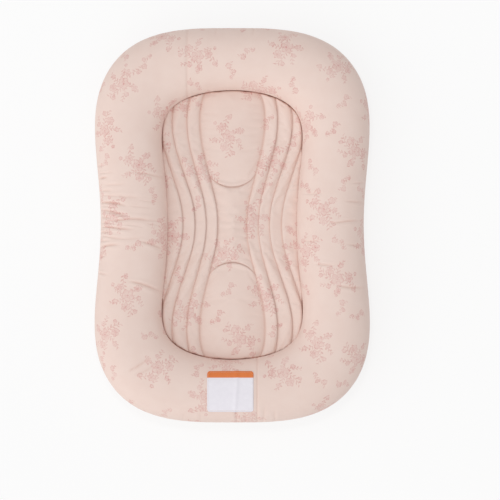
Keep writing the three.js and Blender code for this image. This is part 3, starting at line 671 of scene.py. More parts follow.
def rimRelief(table):
    # the height of the creases and seams over a gently uneven filling, and the painted shade for how deep
    # each place lies in a crease
    drawn = np.zeros(table.shape[:2])
    for crease in rimCreases:
        drawn += creaseHeight(table, crease)
    x, y = table[..., 0], table[..., 1]
    for place, end in ((rimSeams["footSeam"], -1), (rimSeams["headSeam"], 1)):
        onEnd = smooth(*rimSeams["from"], y * end)
        drawn -= rimSeams["depth"] * np.exp(-((x - place) / rimSeams["size"]) ** 2) * onEnd
    uneven = rimLook["lumps"] * cloudy(table, rimLook["lumpSize"], 3)
    uneven += rimLook["ripples"] * cloudy(table, rimLook["rippleSize"], 8)
    return drawn + uneven, rimLook["foldShare"] * np.clip(-drawn / rimLook["paintedShadeFullDepth"], 0, 1)


def outerPuckers(table):
    # the outer seam gathers the cloth in fine uneven tucks
    along = wayRound[:, None]
    waves = 0
    for main, bend, slow, part in tuckWaves:
        waves = waves + np.sin(along * 2 * np.pi * main + bend * np.sin(along * 2 * np.pi * slow)) * part
    near = np.exp(-((table[..., 2] - outerSeamHeight) / rimLook["puckerSize"]) ** 2)
    outerHalf = smooth(*rimLook["puckersFrom"], np.linspace(0, 1, table.shape[1]))[None, :]
    return rimLook["puckers"] * waves * near * outerHalf


def ringHalf(side, rows, facing):
    # half of the ring's cover before it creases: its places, their spots on the cloth, and the normals
    profile = evenly(sectionProfile(side), rows)
    table = ringTable(profile)
    normals = ringNormals(table)
    if normals[0, len(profile) // 2, 2] * facing.z < 0:
        normals = -normals
    return table, ringCloth(table, profile), normals


def makeRimTop():
    table, spots, normals = ringHalf("top", rimLook["topRows"], up)
    share = np.linspace(0, 1, table.shape[1])[None, :]
    held = smooth(0, rimLook["heldAtWell"], share) * (1 - smooth(*rimLook["heldAtSeam"], share))
    relief, fold = rimRelief(table)
    # painted shade in the creases, and along the tuck where the rim meets the well
    fold = np.maximum(fold * held, rimLook["paintedTuckShade"] * (1 - smooth(*rimLook["paintedTuckFade"], share)))
    relief = relief * held + outerPuckers(table)
    table = table + normals * relief[..., None]
    return gridPiece("coverRimTop", table, spots, up, closedRing=True, fold=fold)


def makeRimUnderside():
    table, spots, normals = ringHalf("underside", rimLook["undersideRows"], -up)
    clear = smooth(*rimLook["clearOfFloor"], table[..., 2])
    held = smooth(0, rimLook["undersideHeld"], np.linspace(0, 1, table.shape[1]))[None, :]
    lumps = rimLook["undersideLumps"] * cloudy(table, rimLook["undersideLumpSize"], 5)
    relief = lumps * clear * held + outerPuckers(table)
    table = table + normals * relief[..., None]
    table[..., 2] = np.maximum(table[..., 2], rimLook["lowest"])
    return gridPiece("coverRimUnderside", table, spots, -up, closedRing=True)


rimTop = makeRimTop()
rimUnderside = makeRimUnderside()
rimCovers = [
    (rimTop, "cover_rim_top", printedCotton, "printed_cotton"),
    (rimUnderside, "cover_rim_underside", plainCotton, "plain_cotton"),
]
for cover, node, cloth, slotName in rimCovers:
    thicken(cover, rimLook["cloth"])
    dress(cover, cloth)
    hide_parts(node)

print("stage: inner cushion")

# The inner cushion lies just inside the cover and never shows.
innerLook = {"skip": 5, "rows": 30, "casingDepth": 7 * mm, "casing": 0.8 * mm, "fillDepth": 9 * mm}


def innerRing(name, side, depth, facing):
    profile = evenly(sectionProfile(side, depth), innerLook["rows"])
    table = ringTable(profile)[::innerLook["skip"]]
    return gridPiece(name, table, flatSpots(table), facing, closedRing=True)


casingTop = innerRing("casingTop", "top", innerLook["casingDepth"], up)
casingUnderside = innerRing("casingUnderside", "underside", innerLook["casingDepth"], -up)
for casing, node in ((casingTop, "casing_top"), (casingUnderside, "casing_underside")):
    thicken(casing, innerLook["casing"])
    dress(casing, muslin)
    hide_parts(node)


def makeBolsterFill():
    top = evenly(sectionProfile("top", innerLook["fillDepth"]), innerLook["rows"])
    under = evenly(sectionProfile("underside", innerLook["fillDepth"]), innerLook["rows"])[::-1]
    profile = np.concatenate([top, under[1:], top[:1]])
    table = ringTable(profile)[::innerLook["skip"]]
    obj = gridPiece("bolsterFill", table, flatSpots(table), up, closedRing=True)
    bm = bmesh.new()
    bm.from_mesh(obj.data)
    bmesh.ops.recalc_face_normals(bm, faces=bm.faces)
    bm.to_mesh(obj.data)
    bm.free()
    return obj


bolsterFill = makeBolsterFill()
dress(bolsterFill, fibre)
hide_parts("bolster_fill")

print("stage: quilted centre")

# The quilting: wavy stitched lines each side, nearest the middle at the waist, and a round stitched
# end to each middle panel.
quilt = {
    "lines": ((28, 61), (49.6, 84.2), (70.1, 112.2), (92.2, 134.7)), "wave": 196 * mm,
    "roundRadius": 52.4 * mm, "roundCentre": 123 * mm,
    "columnsBetween": (16, 11, 12, 11, 11), "innerRows": 34, "outerRows": 86,
    "valley": 60.3 * mm, "puff": 5.6 * mm, "puffShare": 0.26, "panelPuff": 5.2 * mm,
    "tucked": 2.4 * mm, "edge": 57.8 * mm, "edgeAtSides": 61.5 * mm, "edgeRound": 4.8 * mm,
    # painted shade in the seam at the edge: at the sides a share of that at the ends, fading out across
    # these shares of the edge's rounding
    "edgeHidden": 2.3 * mm, "sides": (118 * mm, 148 * mm), "paintedShadeAtSides": 0.15,
    "paintedEdgeShade": (0.1, 0.6), "puffShape": (2.6, 0.7), "roundWidest": 0.98, "borderPoints": 721,
    "softCorner": (108 * mm, 222 * mm), "softReach": 34 * mm, "softShare": 0.8,
    "roundPress": 3.2 * mm,
    "back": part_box("quilted_centre_face")[0].z,
    "cloth": {"frames": 22, "quality": 6, "grow": 0.014, "pressure": 2.6, "stiffness": 12,
              "bending": 1.6, "mass": 0.25, "cap": 6 * mm},
    # painted shade along the stitched lines: its strength, fading out as the puff rises over foldSize
    "foldSize": 1.1 * mm, "paintedLineShade": 0.5, "endBend": 6 * mm, "endBendLength": 45 * mm,
    "printShift": (0.213, 0.347, 0), "seamClear": 2.5 * mm, "endClear": 3 * mm,
}
# the quilted cloth runs a little way under the rim to its seam
quiltOutline = outlineOf(
    innerOutline["length"] + 2 * quilt["tucked"], innerOutline["span"] + 2 * quilt["tucked"],
    plan["innerPowers"])


def lineAt(number, y):
    waist, lobe = (value * mm for value in quilt["lines"][number])
    across = waist + (lobe - waist) * (1 - np.cos(np.pi * y / quilt["wave"])) / 2
    if number > 0:
        return across
    # the innermost line turns in again at its ends
    turning = np.clip(1 - (quiltOutline["length"] / 2 - y) / quilt["endBendLength"], 0, 1)
    return across - quilt["endBend"] * turning ** 2


def quiltColumn(column, y):
    # how far out a column lies; columns run between the stitched lines and the well's seam
    edge = halfWidth(quiltOutline, y)
    start = 0
    lines = [np.zeros_like(y)] + [np.minimum(lineAt(k, y), edge) for k in range(4)] + [edge]
    for k, count in enumerate(quilt["columnsBetween"]):
        if column <= start + count:
            share = (column - start) / count
            return lines[k] + (lines[k + 1] - lines[k]) * share
        start += count
    return edge


def crossingOf(isInside, low, high):
    # the place between two where a test stops holding, by halving
    for _ in range(plan["lineHalvings"]):
        middle = (low + high) / 2
        low, high = (middle, high) if isInside(middle) else (low, middle)
    return low


def columnEnd(column, marks):
    # columns past the third line end where it does, and the others end on the well's seam
    half = quiltOutline["length"] / 2
    if column >= marks[2]:
        return crossingOf(lambda y: lineAt(2, y) < halfWidth(quiltOutline, y), 0.0, half)
    starts = [0, *marks[:3]]
    k = max(i for i in range(3) if column >= starts[i])
    share = (column - starts[k]) / (starts[k + 1] - starts[k])

    def isInside(y):
        ends = [0.0, *(lineAt(number, y) for number in range(3))]
        return ends[k] + (ends[k + 1] - ends[k]) * share < halfWidth(quiltOutline, y)

    return crossingOf(isInside, 0.0, half)


def roundHeight(column, marked):
    # where a column of the middle panel crosses the round stitching
    y = quilt["roundCentre"] - quilt["roundRadius"]
    for _ in range(plan["lineHalvings"]):
        x = min(lineAt(0, y) * column / marked, quilt["roundRadius"] * quilt["roundWidest"])
        y = quilt["roundCentre"] - math.sqrt(quilt["roundRadius"] ** 2 - x * x)
    return y


def quiltQuarter():
    # one quarter of the grid, from the middle out and from the waist to the head end
    marks = np.cumsum(quilt["columnsBetween"])
    inner, outer = quilt["innerRows"], quilt["outerRows"]
    table = np.zeros((marks[-1] + 1, inner + outer + 1, 2))
    for column in range(marks[-1] + 1):
        bend = roundHeight(min(column, marks[0]), marks[0])
        low = np.linspace(0, bend, inner + 1)
        high = np.linspace(bend, columnEnd(column, marks), outer + 1)[1:]
        y = np.concatenate([low, high])
        table[column, :, 1] = y
        table[column, :, 0] = quiltColumn(column, y)
    return table, marks


def mirrored(quarter):
    half = np.concatenate([quarter[:, :0:-1] * np.array([1, -1]), quarter], axis=1)
    return np.concatenate([half[:0:-1] * np.array([-1, 1]), half], axis=0)


def depthInside(flat, outline):
    # how far each place lies inside an outline
    turn = np.linspace(0, 2 * np.pi, quilt["borderPoints"])[:-1]
    rays = np.stack([np.cos(turn), np.sin(turn)], 1)
    border = rays * reachOf(outline, rays * 0, rays, outline["length"])[:, None]
    ahead = np.roll(border, -1, axis=0) - border
    spots = flat.reshape(-1, 2)
    nearest = np.full(len(spots), 1.0)
    for start, run in zip(border, ahead):
        share = np.clip(((spots - start) @ run) / (run @ run), 0, 1)
        nearest = np.minimum(nearest, np.linalg.norm(spots - start - share[:, None] * run, axis=1))
    return nearest.reshape(flat.shape[:-1])


def quiltHeights(flat, marks):
    # the puffed shape before the cloth settles, full between the stitched lines, and the painted shade in
    # the stitched lines and in the seam at the edge
    count = marks[-1]
    stitched = sorted({-m for m in marks} | set(marks))
    puffs = np.zeros(flat.shape[:2])
    fullness, roundness = quilt["puffShape"]
    for c in range(flat.shape[0]):
        place = c - count
        left = max(e for e in stitched if e <= place)
        right = min(e for e in stitched if e >= place)
        if left == right:
            continue
        across = abs(2 * (place - left) / (right - left) - 1)
        width = flat[right + count, :, 0] - flat[left + count, :, 0]
        full = quilt["panelPuff"] if abs(place) < marks[0] else quilt["puff"]
        puffs[c] = np.minimum(full, quilt["puffShare"] * width) * (1 - across ** fullness) ** roundness
    # the round stitching presses the middle panel down
    middle = slice(count - marks[0], count + marks[0] + 1)
    x, y = flat[middle, :, 0], np.abs(flat[middle, :, 1])
    away = np.hypot(x, y - quilt["roundCentre"]) - quilt["roundRadius"]
    away = np.where(y > quilt["roundCentre"], 1, np.abs(away))
    press = np.clip(away / quilt["roundPress"], 0, 1)
    puffs[middle] *= (1 - (1 - press) ** 2) ** roundness
    heights = quilt["valley"] + puffs
    # the edge drops to its seam at the ends, and meets the rim almost level at the sides
    x, y = flat[..., 0], flat[..., 1]
    atEnds = smooth(*quilt["sides"], np.abs(y))
    # two of the corners lie softer than the other two, with a shallower seam and less painted shade in it
    cornerX, cornerY = quilt["softCorner"]
    away = np.hypot(np.abs(x) - cornerX, np.abs(y) - cornerY) / quilt["softReach"]
    atEnds *= 1 - np.where(x * y < 0, quilt["softShare"] * np.exp(-away ** 2), 0)
    inset = depthInside(flat, quiltOutline) - quilt["edgeHidden"] * atEnds
    inset = np.clip(inset / quilt["edgeRound"], 0, 1)
    edge = quilt["edgeAtSides"] + (quilt["edge"] - quilt["edgeAtSides"]) * atEnds
    paintedEdgeShade = quilt["paintedShadeAtSides"] + (1 - quilt["paintedShadeAtSides"]) * atEnds
    heights = edge + (heights - edge) * np.sqrt(1 - (1 - inset) ** 2)
    # painted shade: along the stitched lines where the puff sinks, and in the seam at the edge, weaker at
    # the sides
    lines = quilt["paintedLineShade"] * np.exp(-puffs / quilt["foldSize"])
    return heights, np.maximum(lines, paintedEdgeShade * (1 - smooth(*quilt["paintedEdgeShade"], inset)))


def settleCloth(obj, pinned, cloth):
    # the cloth swells between its stitching, with a little more cloth than it needs
    start = np.array([v.co[:] for v in obj.data.vertices])
    group = obj.vertex_groups.new(name="stitched")
    group.add([int(i) for i in pinned], 1.0, "REPLACE")
    settle = obj.modifiers.new("settle", "CLOTH")
    settings = settle.settings
    settings.quality = cloth["quality"]
    settings.mass = cloth["mass"]
    settings.tension_stiffness = settings.compression_stiffness = cloth["stiffness"]
    settings.shear_stiffness = cloth["stiffness"] / 2
    settings.bending_stiffness = cloth["bending"]
    settings.vertex_group_mass = "stitched"
    settings.shrink_min = -cloth["grow"]
    settings.use_pressure = True
    settings.uniform_pressure_force = cloth["pressure"]
    settings.effector_weights.gravity = 0
    settle.collision_settings.use_collision = False
    scene = bpy.context.scene
    for step in range(1, cloth["frames"] + 1):
        scene.frame_set(step)
    settled = obj.evaluated_get(bpy.context.evaluated_depsgraph_get()).data
    end = np.array([v.co[:] for v in settled.vertices])
    obj.modifiers.remove(settle)
    obj.vertex_groups.clear()
    scene.frame_set(1)
    move = end - start
    far = np.linalg.norm(move, axis=1)
    move *= np.minimum(1, cloth["cap"] / np.maximum(far, 1e-9))[:, None]
    obj.data.vertices.foreach_set("co", (start + move).ravel())
    obj.data.update()
    print("cloth moved up to", round(float(far.max()) / mm, 2), "mm on", obj.name)


quarter, quiltMarks = quiltQuarter()
quiltFlat = mirrored(quarter)
# the quilt's heights, and its painted shade in the stitched lines and the seam
quiltHeight, quiltPaintedShade = quiltHeights(quiltFlat, quiltMarks)
quiltTable = np.dstack([quiltFlat, quiltHeight])
count, halfRows = quiltMarks[-1], quilt["innerRows"] + quilt["outerRows"]
roundRow = quilt["innerRows"]
middleColumns = np.abs(np.arange(-count, count + 1)) <= quiltMarks[0]


def quiltPins():
    pins = np.zeros(quiltTable.shape[:2], bool)
    for mark in quiltMarks:
        pins[count + mark] = pins[count - mark] = True
    pins[:, 0] = pins[:, -1] = True
    for sign in (-1, 1):
        pins[middleColumns, halfRows + sign * roundRow] = True
    return pins


def makeQuiltedCentre():
    spots = flatSpots(quiltTable) + np.array(quilt["printShift"])
    obj = gridPiece("quiltedCentre", quiltTable, spots, up, fold=quiltPaintedShade)
    spotValues = np.empty(len(obj.data.vertices), np.int32)
    obj.data.attributes["gridSpot"].data.foreach_get("value", spotValues)
    rows = quiltTable.shape[1]
    pins = quiltPins()[spotValues // rows, spotValues % rows]
    settleCloth(obj, np.nonzero(pins)[0], quilt["cloth"])
    bm = bmesh.new()
    bm.from_mesh(obj.data)
    border = [edge for edge in bm.edges if edge.is_boundary]
    skirt = bmesh.ops.extrude_edge_only(bm, edges=border)["geom"]
    for vert in (item for item in skirt if isinstance(item, bmesh.types.BMVert)):
        vert.co.z = quilt["back"]
    border = [edge for edge in bm.edges if edge.is_boundary]
    back = bmesh.ops.contextual_create(bm, geom=border)["faces"]
    bmesh.ops.triangulate(bm, faces=back)
    bmesh.ops.recalc_face_normals(bm, faces=bm.faces)
    bm.to_mesh(obj.data)
    bm.free()
    return obj


quiltedCentre = makeQuiltedCentre()
dress(quiltedCentre, printedCotton)
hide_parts("quilted_centre_face")

print("stage: stitching")

stitch = {"pitch": 3.6 * mm, "length": 2.6 * mm, "thick": 0.7 * mm}
raised = 0.3  # how far a stitch's middle lies above the cloth, as a share of its thickness
rayFrom = 0.2  # rays that look for the cloth start this far above or below the floor


def surfaceOf(obj):
    bpy.context.view_layer.update()
    return BVHTree.FromObject(obj, bpy.context.evaluated_depsgraph_get())


def sewAlong(bm, path, tree, look, facing=up):
    # single stitches laid along a path, each resting on the cloth behind it
    travelled = lengthAlong(path)
    for along in np.arange(look["pitch"] / 2, travelled[-1], look["pitch"]):
        ends = []
        for shift in (-look["length"] / 2, look["length"] / 2):
            at = np.clip(along + shift, 0, travelled[-1])
            x, y = (float(np.interp(at, travelled, path[:, k])) for k in (0, 1))
            hit = tree.ray_cast(Vector((x, y, facing.z * rayFrom)), -facing)[0]
            if hit is not None:
                ends.append(hit)
        if len(ends) < 2 or (ends[1] - ends[0]).length < look["length"] / 4:
            continue
        run = ends[1] - ends[0]
        turn = run.to_track_quat("X", "Z").to_matrix().to_4x4()
        size = Matrix.Diagonal((run.length / 2, look["thick"] / 2, look["thick"] / 2, 1))
        middle = Matrix.Translation((ends[0] + ends[1]) / 2 + facing * look["thick"] * raised)
        bmesh.ops.create_icosphere(bm, subdivisions=1, radius=1, matrix=middle @ turn @ size)


def sewnPiece(name, paths, ground, look, facing=up):
    tree = surfaceOf(ground)
    bm = bmesh.new()
    for path in paths:
        sewAlong(bm, path, tree, look, facing)
    return smoothPiece(name, bm)


quiltPaths = []
for mark in quiltMarks[:4]:
    for side in (-1, 1):
        line = quiltFlat[count + side * mark]
        seamAway = halfWidth(innerOutline, line[:, 1]) - np.abs(line[:, 0])
        endAway = innerOutline["length"] / 2 - np.abs(line[:, 1])
        quiltPaths.append(line[(seamAway > quilt["seamClear"]) & (endAway > quilt["endClear"])])
for sign in (-1, 1):
    quiltPaths.append(quiltFlat[middleColumns, halfRows + sign * roundRow])
quiltStitches = sewnPiece("quiltStitches", quiltPaths, quiltedCentre, stitch)
dress(quiltStitches, spunThread)

print("stage: patch")

# The patch is left blank: white satin with a plain woven band along its upper edge.
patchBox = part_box("blank_patch")
patchLook = {
    "columns": 66, "rows": 58, "corner": 5 * mm, "band": 11.7 * mm, "thickness": 0.6 * mm,
    "lift": 0.25 * mm, "fold": 0.9 * mm, "foldSize": 3.5 * mm, "foldShare": 0.6, "foldLean": 0.06,
    "easings": 2, "white": ("#efecf2", "#e5e1e9"), "orange": ("#ea8545", "#dc7536"),
    "shadeSize": 9 * mm, "bandEdge": 0.2 * mm, "weave": 0.25, "thread": 0.8 * mm,
    "hem": 2 * mm, "stitch": {"pitch": 2.8 * mm, "length": 2.0 * mm, "thick": 0.36 * mm},
}


def makePatch(ground):
    tree = surfaceOf(ground)
    low, high = patchBox
    x = np.linspace(low.x, high.x, patchLook["columns"] + 1)
    y = np.linspace(low.y, high.y, patchLook["rows"] + 1)
    grid = np.stack(np.meshgrid(x, y, indexing="ij"), 2)
    middle = np.array([(low.x + high.x) / 2, (low.y + high.y) / 2])
    half = np.array([(high.x - low.x) / 2, (high.y - low.y) / 2])
    # the corners are drawn in to a quarter round
    straight = np.minimum(np.abs(grid - middle), half - patchLook["corner"])
    beyond = np.maximum(np.abs(grid - middle) - (half - patchLook["corner"]), 0)
    away = np.linalg.norm(beyond, axis=2)
    pull = np.where(away > patchLook["corner"], patchLook["corner"] / np.maximum(away, 1e-9), 1)
    grid = middle + np.sign(grid - middle) * (straight + beyond * pull[..., None])
    table = np.zeros((*grid.shape[:2], 3))
    foldX = low.x + (high.x - low.x) * patchLook["foldShare"]
    for i in range(grid.shape[0]):
        for j in range(grid.shape[1]):
            gx, gy = grid[i, j]
            hit, normal, _, _ = tree.ray_cast(Vector((gx, gy, rayFrom)), -up)
            offFold = gx - foldX - patchLook["foldLean"] * (gy - low.y)
            fold = math.exp(-(offFold / patchLook["foldSize"]) ** 2)
            lift = patchLook["lift"] + patchLook["thickness"] + patchLook["fold"] * fold
            table[i, j] = hit + normal * lift
    for _ in range(patchLook["easings"]):
        inner = (table[:-2, 1:-1] + table[2:, 1:-1] + table[1:-1, :-2] + table[1:-1, 2:]) / 4
        table[1:-1, 1:-1] = (table[1:-1, 1:-1] + inner) / 2
    spots = np.concatenate([grid - middle, np.zeros((*grid.shape[:2], 1))], axis=2)
    return gridPiece("blankPatch", table, spots, up), grid, middle, half


def makeSatin():
    # polyester satin ribbon with a plain woven band: smooth, with a soft shine across its fine ribs
    material, tree, shader = newMaterial("satinRibbon", {
        "Roughness": 0.42, "Specular IOR Level": 0.45, "Sheen Weight": 0.1})
    spot = clothSpot(tree)
    parts = addNode(tree, "SeparateXYZ", {0: spot}).outputs
    edge = (patchBox[1].y - patchBox[0].y) / 2 - patchLook["band"]
    blend = patchLook["bandEdge"]
    band = addNode(tree, "MapRange", {0: parts[1], 1: edge - blend, 2: edge + blend})
    shade = addNode(
        tree, "TexNoise", {"Vector": spot, "Scale": 1 / patchLook["shadeSize"], "Detail": 4})
    dyed = []
    for light, deep in (patchLook["white"], patchLook["orange"]):
        mixed = addNode(
            tree, "Mix", {0: shade, 6: linearColour(light), 7: linearColour(deep)}, data_type="RGBA")
        dyed.append(mixed.outputs[2])
    colour = addNode(tree, "Mix", {0: band, 6: dyed[0], 7: dyed[1]}, data_type="RGBA")
    tree.links.new(colour.outputs[2], shader.inputs["Base Color"])
    weaveBump(tree, shader, spot, patchLook["weave"], patchLook["thread"])
    return material


blankPatch, patchGrid, patchMiddle, patchHalf = makePatch(rimTop)
thicken(blankPatch, patchLook["thickness"])
dress(blankPatch, makeSatin())
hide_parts("blank_patch")
hemScale = 1 - patchLook["hem"] / patchHalf
patchSides = [patchGrid[:, 0], patchGrid[-1, 1:], patchGrid[-2::-1, -1], patchGrid[0, -2::-1]]
rimOfPatch = np.concatenate(patchSides)
hemPath = patchMiddle + (rimOfPatch - patchMiddle) * hemScale
patchStitches = sewnPiece("patchStitches", [hemPath], blankPatch, patchLook["stitch"])
dress(patchStitches, spunThread)

print("stage: base and zip")

# Each panel lies clear of the other, of the ring's seam and, between the stops, of the slider.
baseLook = {
    "columns": 48, "rows": 190, "cloth": 1.0 * mm, "sag": 1.4 * mm, "sagPower": 4,
    "ripple": 0.5 * mm, "rippleSize": 40 * mm, "endClear": 0.5 * mm, "seamClear": 0.3 * mm,
    "middleClear": 0.15 * mm, "sliderClear": 0.7 * mm, "narrowest": 0.1 * mm,
    "slotEnds": (1.2 * mm, 3 * mm), "stitchRows": (8.2 * mm, 12.6 * mm), "stitchEnd": 232 * mm,
}
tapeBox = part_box("zip_tape_right")
stopLow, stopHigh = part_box("zip_top_stop_left")[0].y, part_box("zip_bottom_stop")[1].y
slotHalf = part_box("zip_slider")[1].x + baseLook["sliderClear"]


def makeBasePanel(name, side):
    end = innerOutline["length"] / 2 - baseLook["endClear"]
    y = end * np.sin(np.linspace(-1, 1, baseLook["rows"] + 1) * np.pi / 2)
    full, gone = baseLook["slotEnds"]
    inSlot = smooth(stopLow - gone, stopLow - full, y)
    inSlot = inSlot * (1 - smooth(stopHigh + full, stopHigh + gone, y))
    near = baseLook["middleClear"] + (slotHalf - baseLook["middleClear"]) * inSlot
    far = halfWidth(innerOutline, y) - baseLook["seamClear"]
    far = np.maximum(far, near + baseLook["narrowest"])
    share = np.linspace(0, 1, baseLook["columns"] + 1)[:, None]
    x = near[None, :] + (far - near)[None, :] * share
    table = np.stack([side * x, np.broadcast_to(y, x.shape), np.zeros_like(x)], 2)
    hang = np.sin(np.pi * share) * (1 - (np.abs(y) / end) ** baseLook["sagPower"])[None, :]
    ripple = cloudy(table, baseLook["rippleSize"], 12) * baseLook["ripple"] * hang
    table[..., 2] = baseSeamHeight - baseLook["cloth"] / 2 - baseLook["sag"] * hang + ripple
    return gridPiece(name, table, flatSpots(table), -up)


basePanels = [("basePanelLeft", "base_panel_left", -1), ("basePanelRight", "base_panel_right", 1)]
for name, node, side in basePanels:
    panel = makeBasePanel(name, side)
    thicken(panel, baseLook["cloth"])
    dress(panel, plainCotton)
    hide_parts(node)
    # two rows of stitches hold the tape to the panel
    end = baseLook["stitchEnd"]
    rows = [np.array([[side * x, -end], [side * x, end]]) for x in baseLook["stitchRows"]]
    tapeStitches = sewnPiece(name + "Stitches", rows, panel, stitch, -up)
    dress(tapeStitches, spunThread)

tapeLook = {"columns": 12, "rows": 230, "rib": 0.12 * mm, "ribPitch": 1.6 * mm}


def makeZipTape(name, side):
    low, high = tapeBox
    x = side * np.linspace(low.x, high.x, tapeLook["columns"] + 1)
    y = np.linspace(low.y, high.y, tapeLook["rows"] + 1)
    table = np.stack([*np.meshgrid(x, y, indexing="ij"), np.zeros((len(x), len(y)))], 2)
    ribs = np.sin(np.abs(table[..., 0]) / tapeLook["ribPitch"] * 2 * np.pi) * tapeLook["rib"]
    table[..., 2] = low.z + tapeLook["rib"] + ribs
    return gridPiece(name, table, flatSpots(table), -up)


zipTapes = [("zipTapeLeft", "zip_tape_left", -1), ("zipTapeRight", "zip_tape_right", 1)]
for name, node, side in zipTapes:
    tape = makeZipTape(name, side)
    thicken(tape, tapeBox[1].z - tapeBox[0].z - 2 * tapeLook["rib"])
    dress(tape, zipCloth)
    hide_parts(node)

coilLook = {"pitch": 1.5 * mm, "turn": 0.95 * mm, "fullness": 1.25, "lean": 0.22}


def makeCoil(name, node):
    # each turn of the coil is one rounded bead
    low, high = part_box(node)
    middle = (low + high) / 2
    thick = coilLook["turn"] / 2 * coilLook["fullness"]
    size = Matrix.Diagonal(((high.x - low.x) / 2, thick, (high.z - low.z) / 2, 1))
    lean = Euler((0, 0, math.copysign(coilLook["lean"], middle.x))).to_matrix().to_4x4()
    bm = bmesh.new()
    for y in np.arange(low.y + coilLook["pitch"] / 2, high.y, coilLook["pitch"]):
        place = Matrix.Translation((middle.x, y, middle.z))
        bmesh.ops.create_icosphere(bm, subdivisions=1, radius=1, matrix=place @ lean @ size)
    return smoothPiece(name, bm)


for name, node in (("zipCoilLeft", "zip_coil_left"), ("zipCoilRight", "zip_coil_right")):
    coil = makeCoil(name, node)
    dress(coil, nylon)
    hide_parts(node)

# The small castings: the finished piece, the CAD piece it is eased from, its body and the easing.
castings = [
    ("topStopLeft", "zip_top_stop_left", "lounger", 0.35 * mm),
    ("topStopRight", "zip_top_stop_right", "lounger", 0.35 * mm),
    ("bottomStop", "zip_bottom_stop", "lounger", 0.4 * mm),
    ("zipSlider", "zip_slider", "zip_slider", 0.3 * mm),
    ("zipPull", "zip_pull", "zip_pull", 0.25 * mm),
]
castingLook = {
    "merge": 0.01 * mm, "flat": math.radians(1), "sharp": math.radians(40), "segments": 3,
    "normalWeight": 90,
}


def easedCopy(name, node, width):
    # a merged copy of the CAD piece with its corners rounded, as a casting's are
    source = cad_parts[node]
    bm = bmesh.new()
    bm.from_mesh(source.data)
    bm.transform(source.matrix_world)
    bmesh.ops.remove_doubles(bm, verts=bm.verts, dist=castingLook["merge"])
    bmesh.ops.dissolve_limit(
        bm, angle_limit=castingLook["flat"], verts=bm.verts, edges=bm.edges)
    inner = [edge for edge in bm.edges if edge.is_manifold]
    sharp = [edge for edge in inner if edge.calc_face_angle() > castingLook["sharp"]]
    bmesh.ops.bevel(
        bm, geom=sharp, offset=width, affect="EDGES", segments=castingLook["segments"], profile=0.5,
        material=-1, clamp_overlap=True)
    obj = smoothPiece(name, bm)
    normals = obj.modifiers.new("evenNormals", "WEIGHTED_NORMAL")
    normals.weight = castingLook["normalWeight"]
    return obj


for name, node, body, width in castings:
    casting = easedCopy(name, node, width)
    dress(casting, zinc, body)
    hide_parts(node)

cadFinishes = {
    "quilt_backing": plainCotton, "sling_cloth_upper": muslin, "sling_cloth_lower": muslin,
    "centre_fill": fibre,
}
for node, material in cadFinishes.items():
    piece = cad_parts[node]
    if piece.data.materials:
        piece.data.materials[0] = material
    else:
        piece.data.materials.append(material)

print("stage: studio")

studio = {
    "scale": 1.8706 * mm, "pictureSize": 500, "middleX": 232.3, "middleY": 225.0,
    "distance": 3.4, "lean": 1.2, "aimHeight": 0.052, "sensor": 36, "clip": (0.05, 50),
    "floorColour": "#868686", "floorGlow": 0.745, "floorSize": 8, "skyLow": 0.78, "skyHigh": 0.6,
    "skyLowColour": (1, 0.955, 0.935, 1), "skyRise": (-0.6, 0.5),
    "windowGlow": 0.66, "windowFrom": (-0.68, -0.5, 0.54), "windowEdge": 0.25,
    # the lamp: watts, size, place, and the height it is turned to
    "lamp": (5, 0.25, (-0.1, 0.3, 2.2), 0.05),
}


def makeFloor():
    bm = bmesh.new()
    bmesh.ops.create_grid(bm, x_segments=1, y_segments=1, size=studio["floorSize"] / 2)
    mesh = bpy.data.meshes.new("studioFloor")
    bm.to_mesh(mesh)
    bm.free()
    floor = shownObject("studioFloor", mesh)
    # a pale paper sweep lit from behind, so that only a faint shadow shows on it
    material, _, _ = newMaterial("paperSweep", {
        "Roughness": 0.95, "Specular IOR Level": 0.0, "Base Color": linearColour(studio["floorColour"]),
        "Emission Color": (1, 1, 1, 1), "Emission Strength": studio["floorGlow"]})
    mesh.materials.append(material)
    floor.visible_diffuse = False


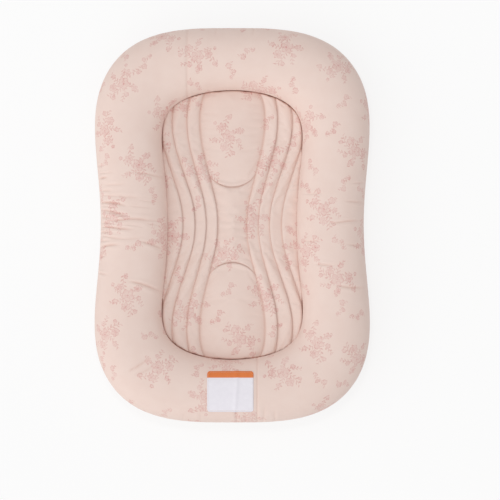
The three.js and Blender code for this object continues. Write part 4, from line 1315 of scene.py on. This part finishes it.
def makeCamera():
    middle = studio["pictureSize"] / 2
    aim = Vector(((middle - studio["middleX"]) * studio["scale"],
                  (studio["middleY"] - middle) * studio["scale"], studio["aimHeight"]))
    lean = math.radians(studio["lean"])
    data = bpy.data.cameras.new("studioCamera")
    camera = shownObject("studioCamera", data)
    back = Vector((0, -math.sin(lean), math.cos(lean)))
    camera.location = aim + back * studio["distance"]
    camera.rotation_euler = (lean, 0, 0)
    data.sensor_width = studio["sensor"]
    data.lens = studio["sensor"] / 2 / (middle * studio["scale"] / studio["distance"])
    data.clip_start, data.clip_end = studio["clip"]
    bpy.context.scene.camera = camera


def makeLamp():
    watts, size, place, aimHeight = studio["lamp"]
    data = bpy.data.lights.new("overheadLight", "AREA")
    data.shape = "SQUARE"
    data.size = size
    data.energy = watts
    lamp = shownObject("overheadLight", data)
    lamp.location = place
    aim = Vector((0, 0, aimHeight)) - lamp.location
    lamp.rotation_euler = aim.to_track_quat("-Z", "Y").to_euler()


def makeAir():
    # the air of the studio: a broad window glow from the lower left, and pink light back from the cloth
    world = bpy.data.worlds.new("studioAir")
    world.use_nodes = True
    tree = world.node_tree
    background = tree.nodes["Background"]
    direction = addNode(tree, "TexCoord").outputs["Generated"]
    height = addNode(tree, "SeparateXYZ", {0: direction}).outputs[2]
    even = addNode(
        tree, "MapRange", {0: height, 1: -1.0, 2: 1.0, 3: studio["skyLow"], 4: studio["skyHigh"]})
    facing = addNode(
        tree, "VectorMath", {0: direction, 1: studio["windowFrom"]}, operation="DOT_PRODUCT")
    window = addNode(
        tree, "MapRange",
        {0: facing.outputs["Value"], 1: studio["windowEdge"], 2: 1.0, 3: 0.0, 4: studio["windowGlow"]},
        interpolation_type="SMOOTHSTEP")
    glow = addNode(tree, "Math", {0: even, 1: window}, operation="ADD")
    tree.links.new(glow.outputs[0], background.inputs["Strength"])
    low, high = studio["skyRise"]
    rise = addNode(tree, "MapRange", {0: height, 1: low, 2: high})
    colour = addNode(
        tree, "Mix", {0: rise, 6: studio["skyLowColour"], 7: (1, 1, 1, 1)}, data_type="RGBA")
    tree.links.new(colour.outputs[2], background.inputs["Color"])
    bpy.context.scene.world = world


makeFloor()
makeCamera()
makeLamp()
makeAir()
bpy.context.scene.view_settings.view_transform = "Standard"
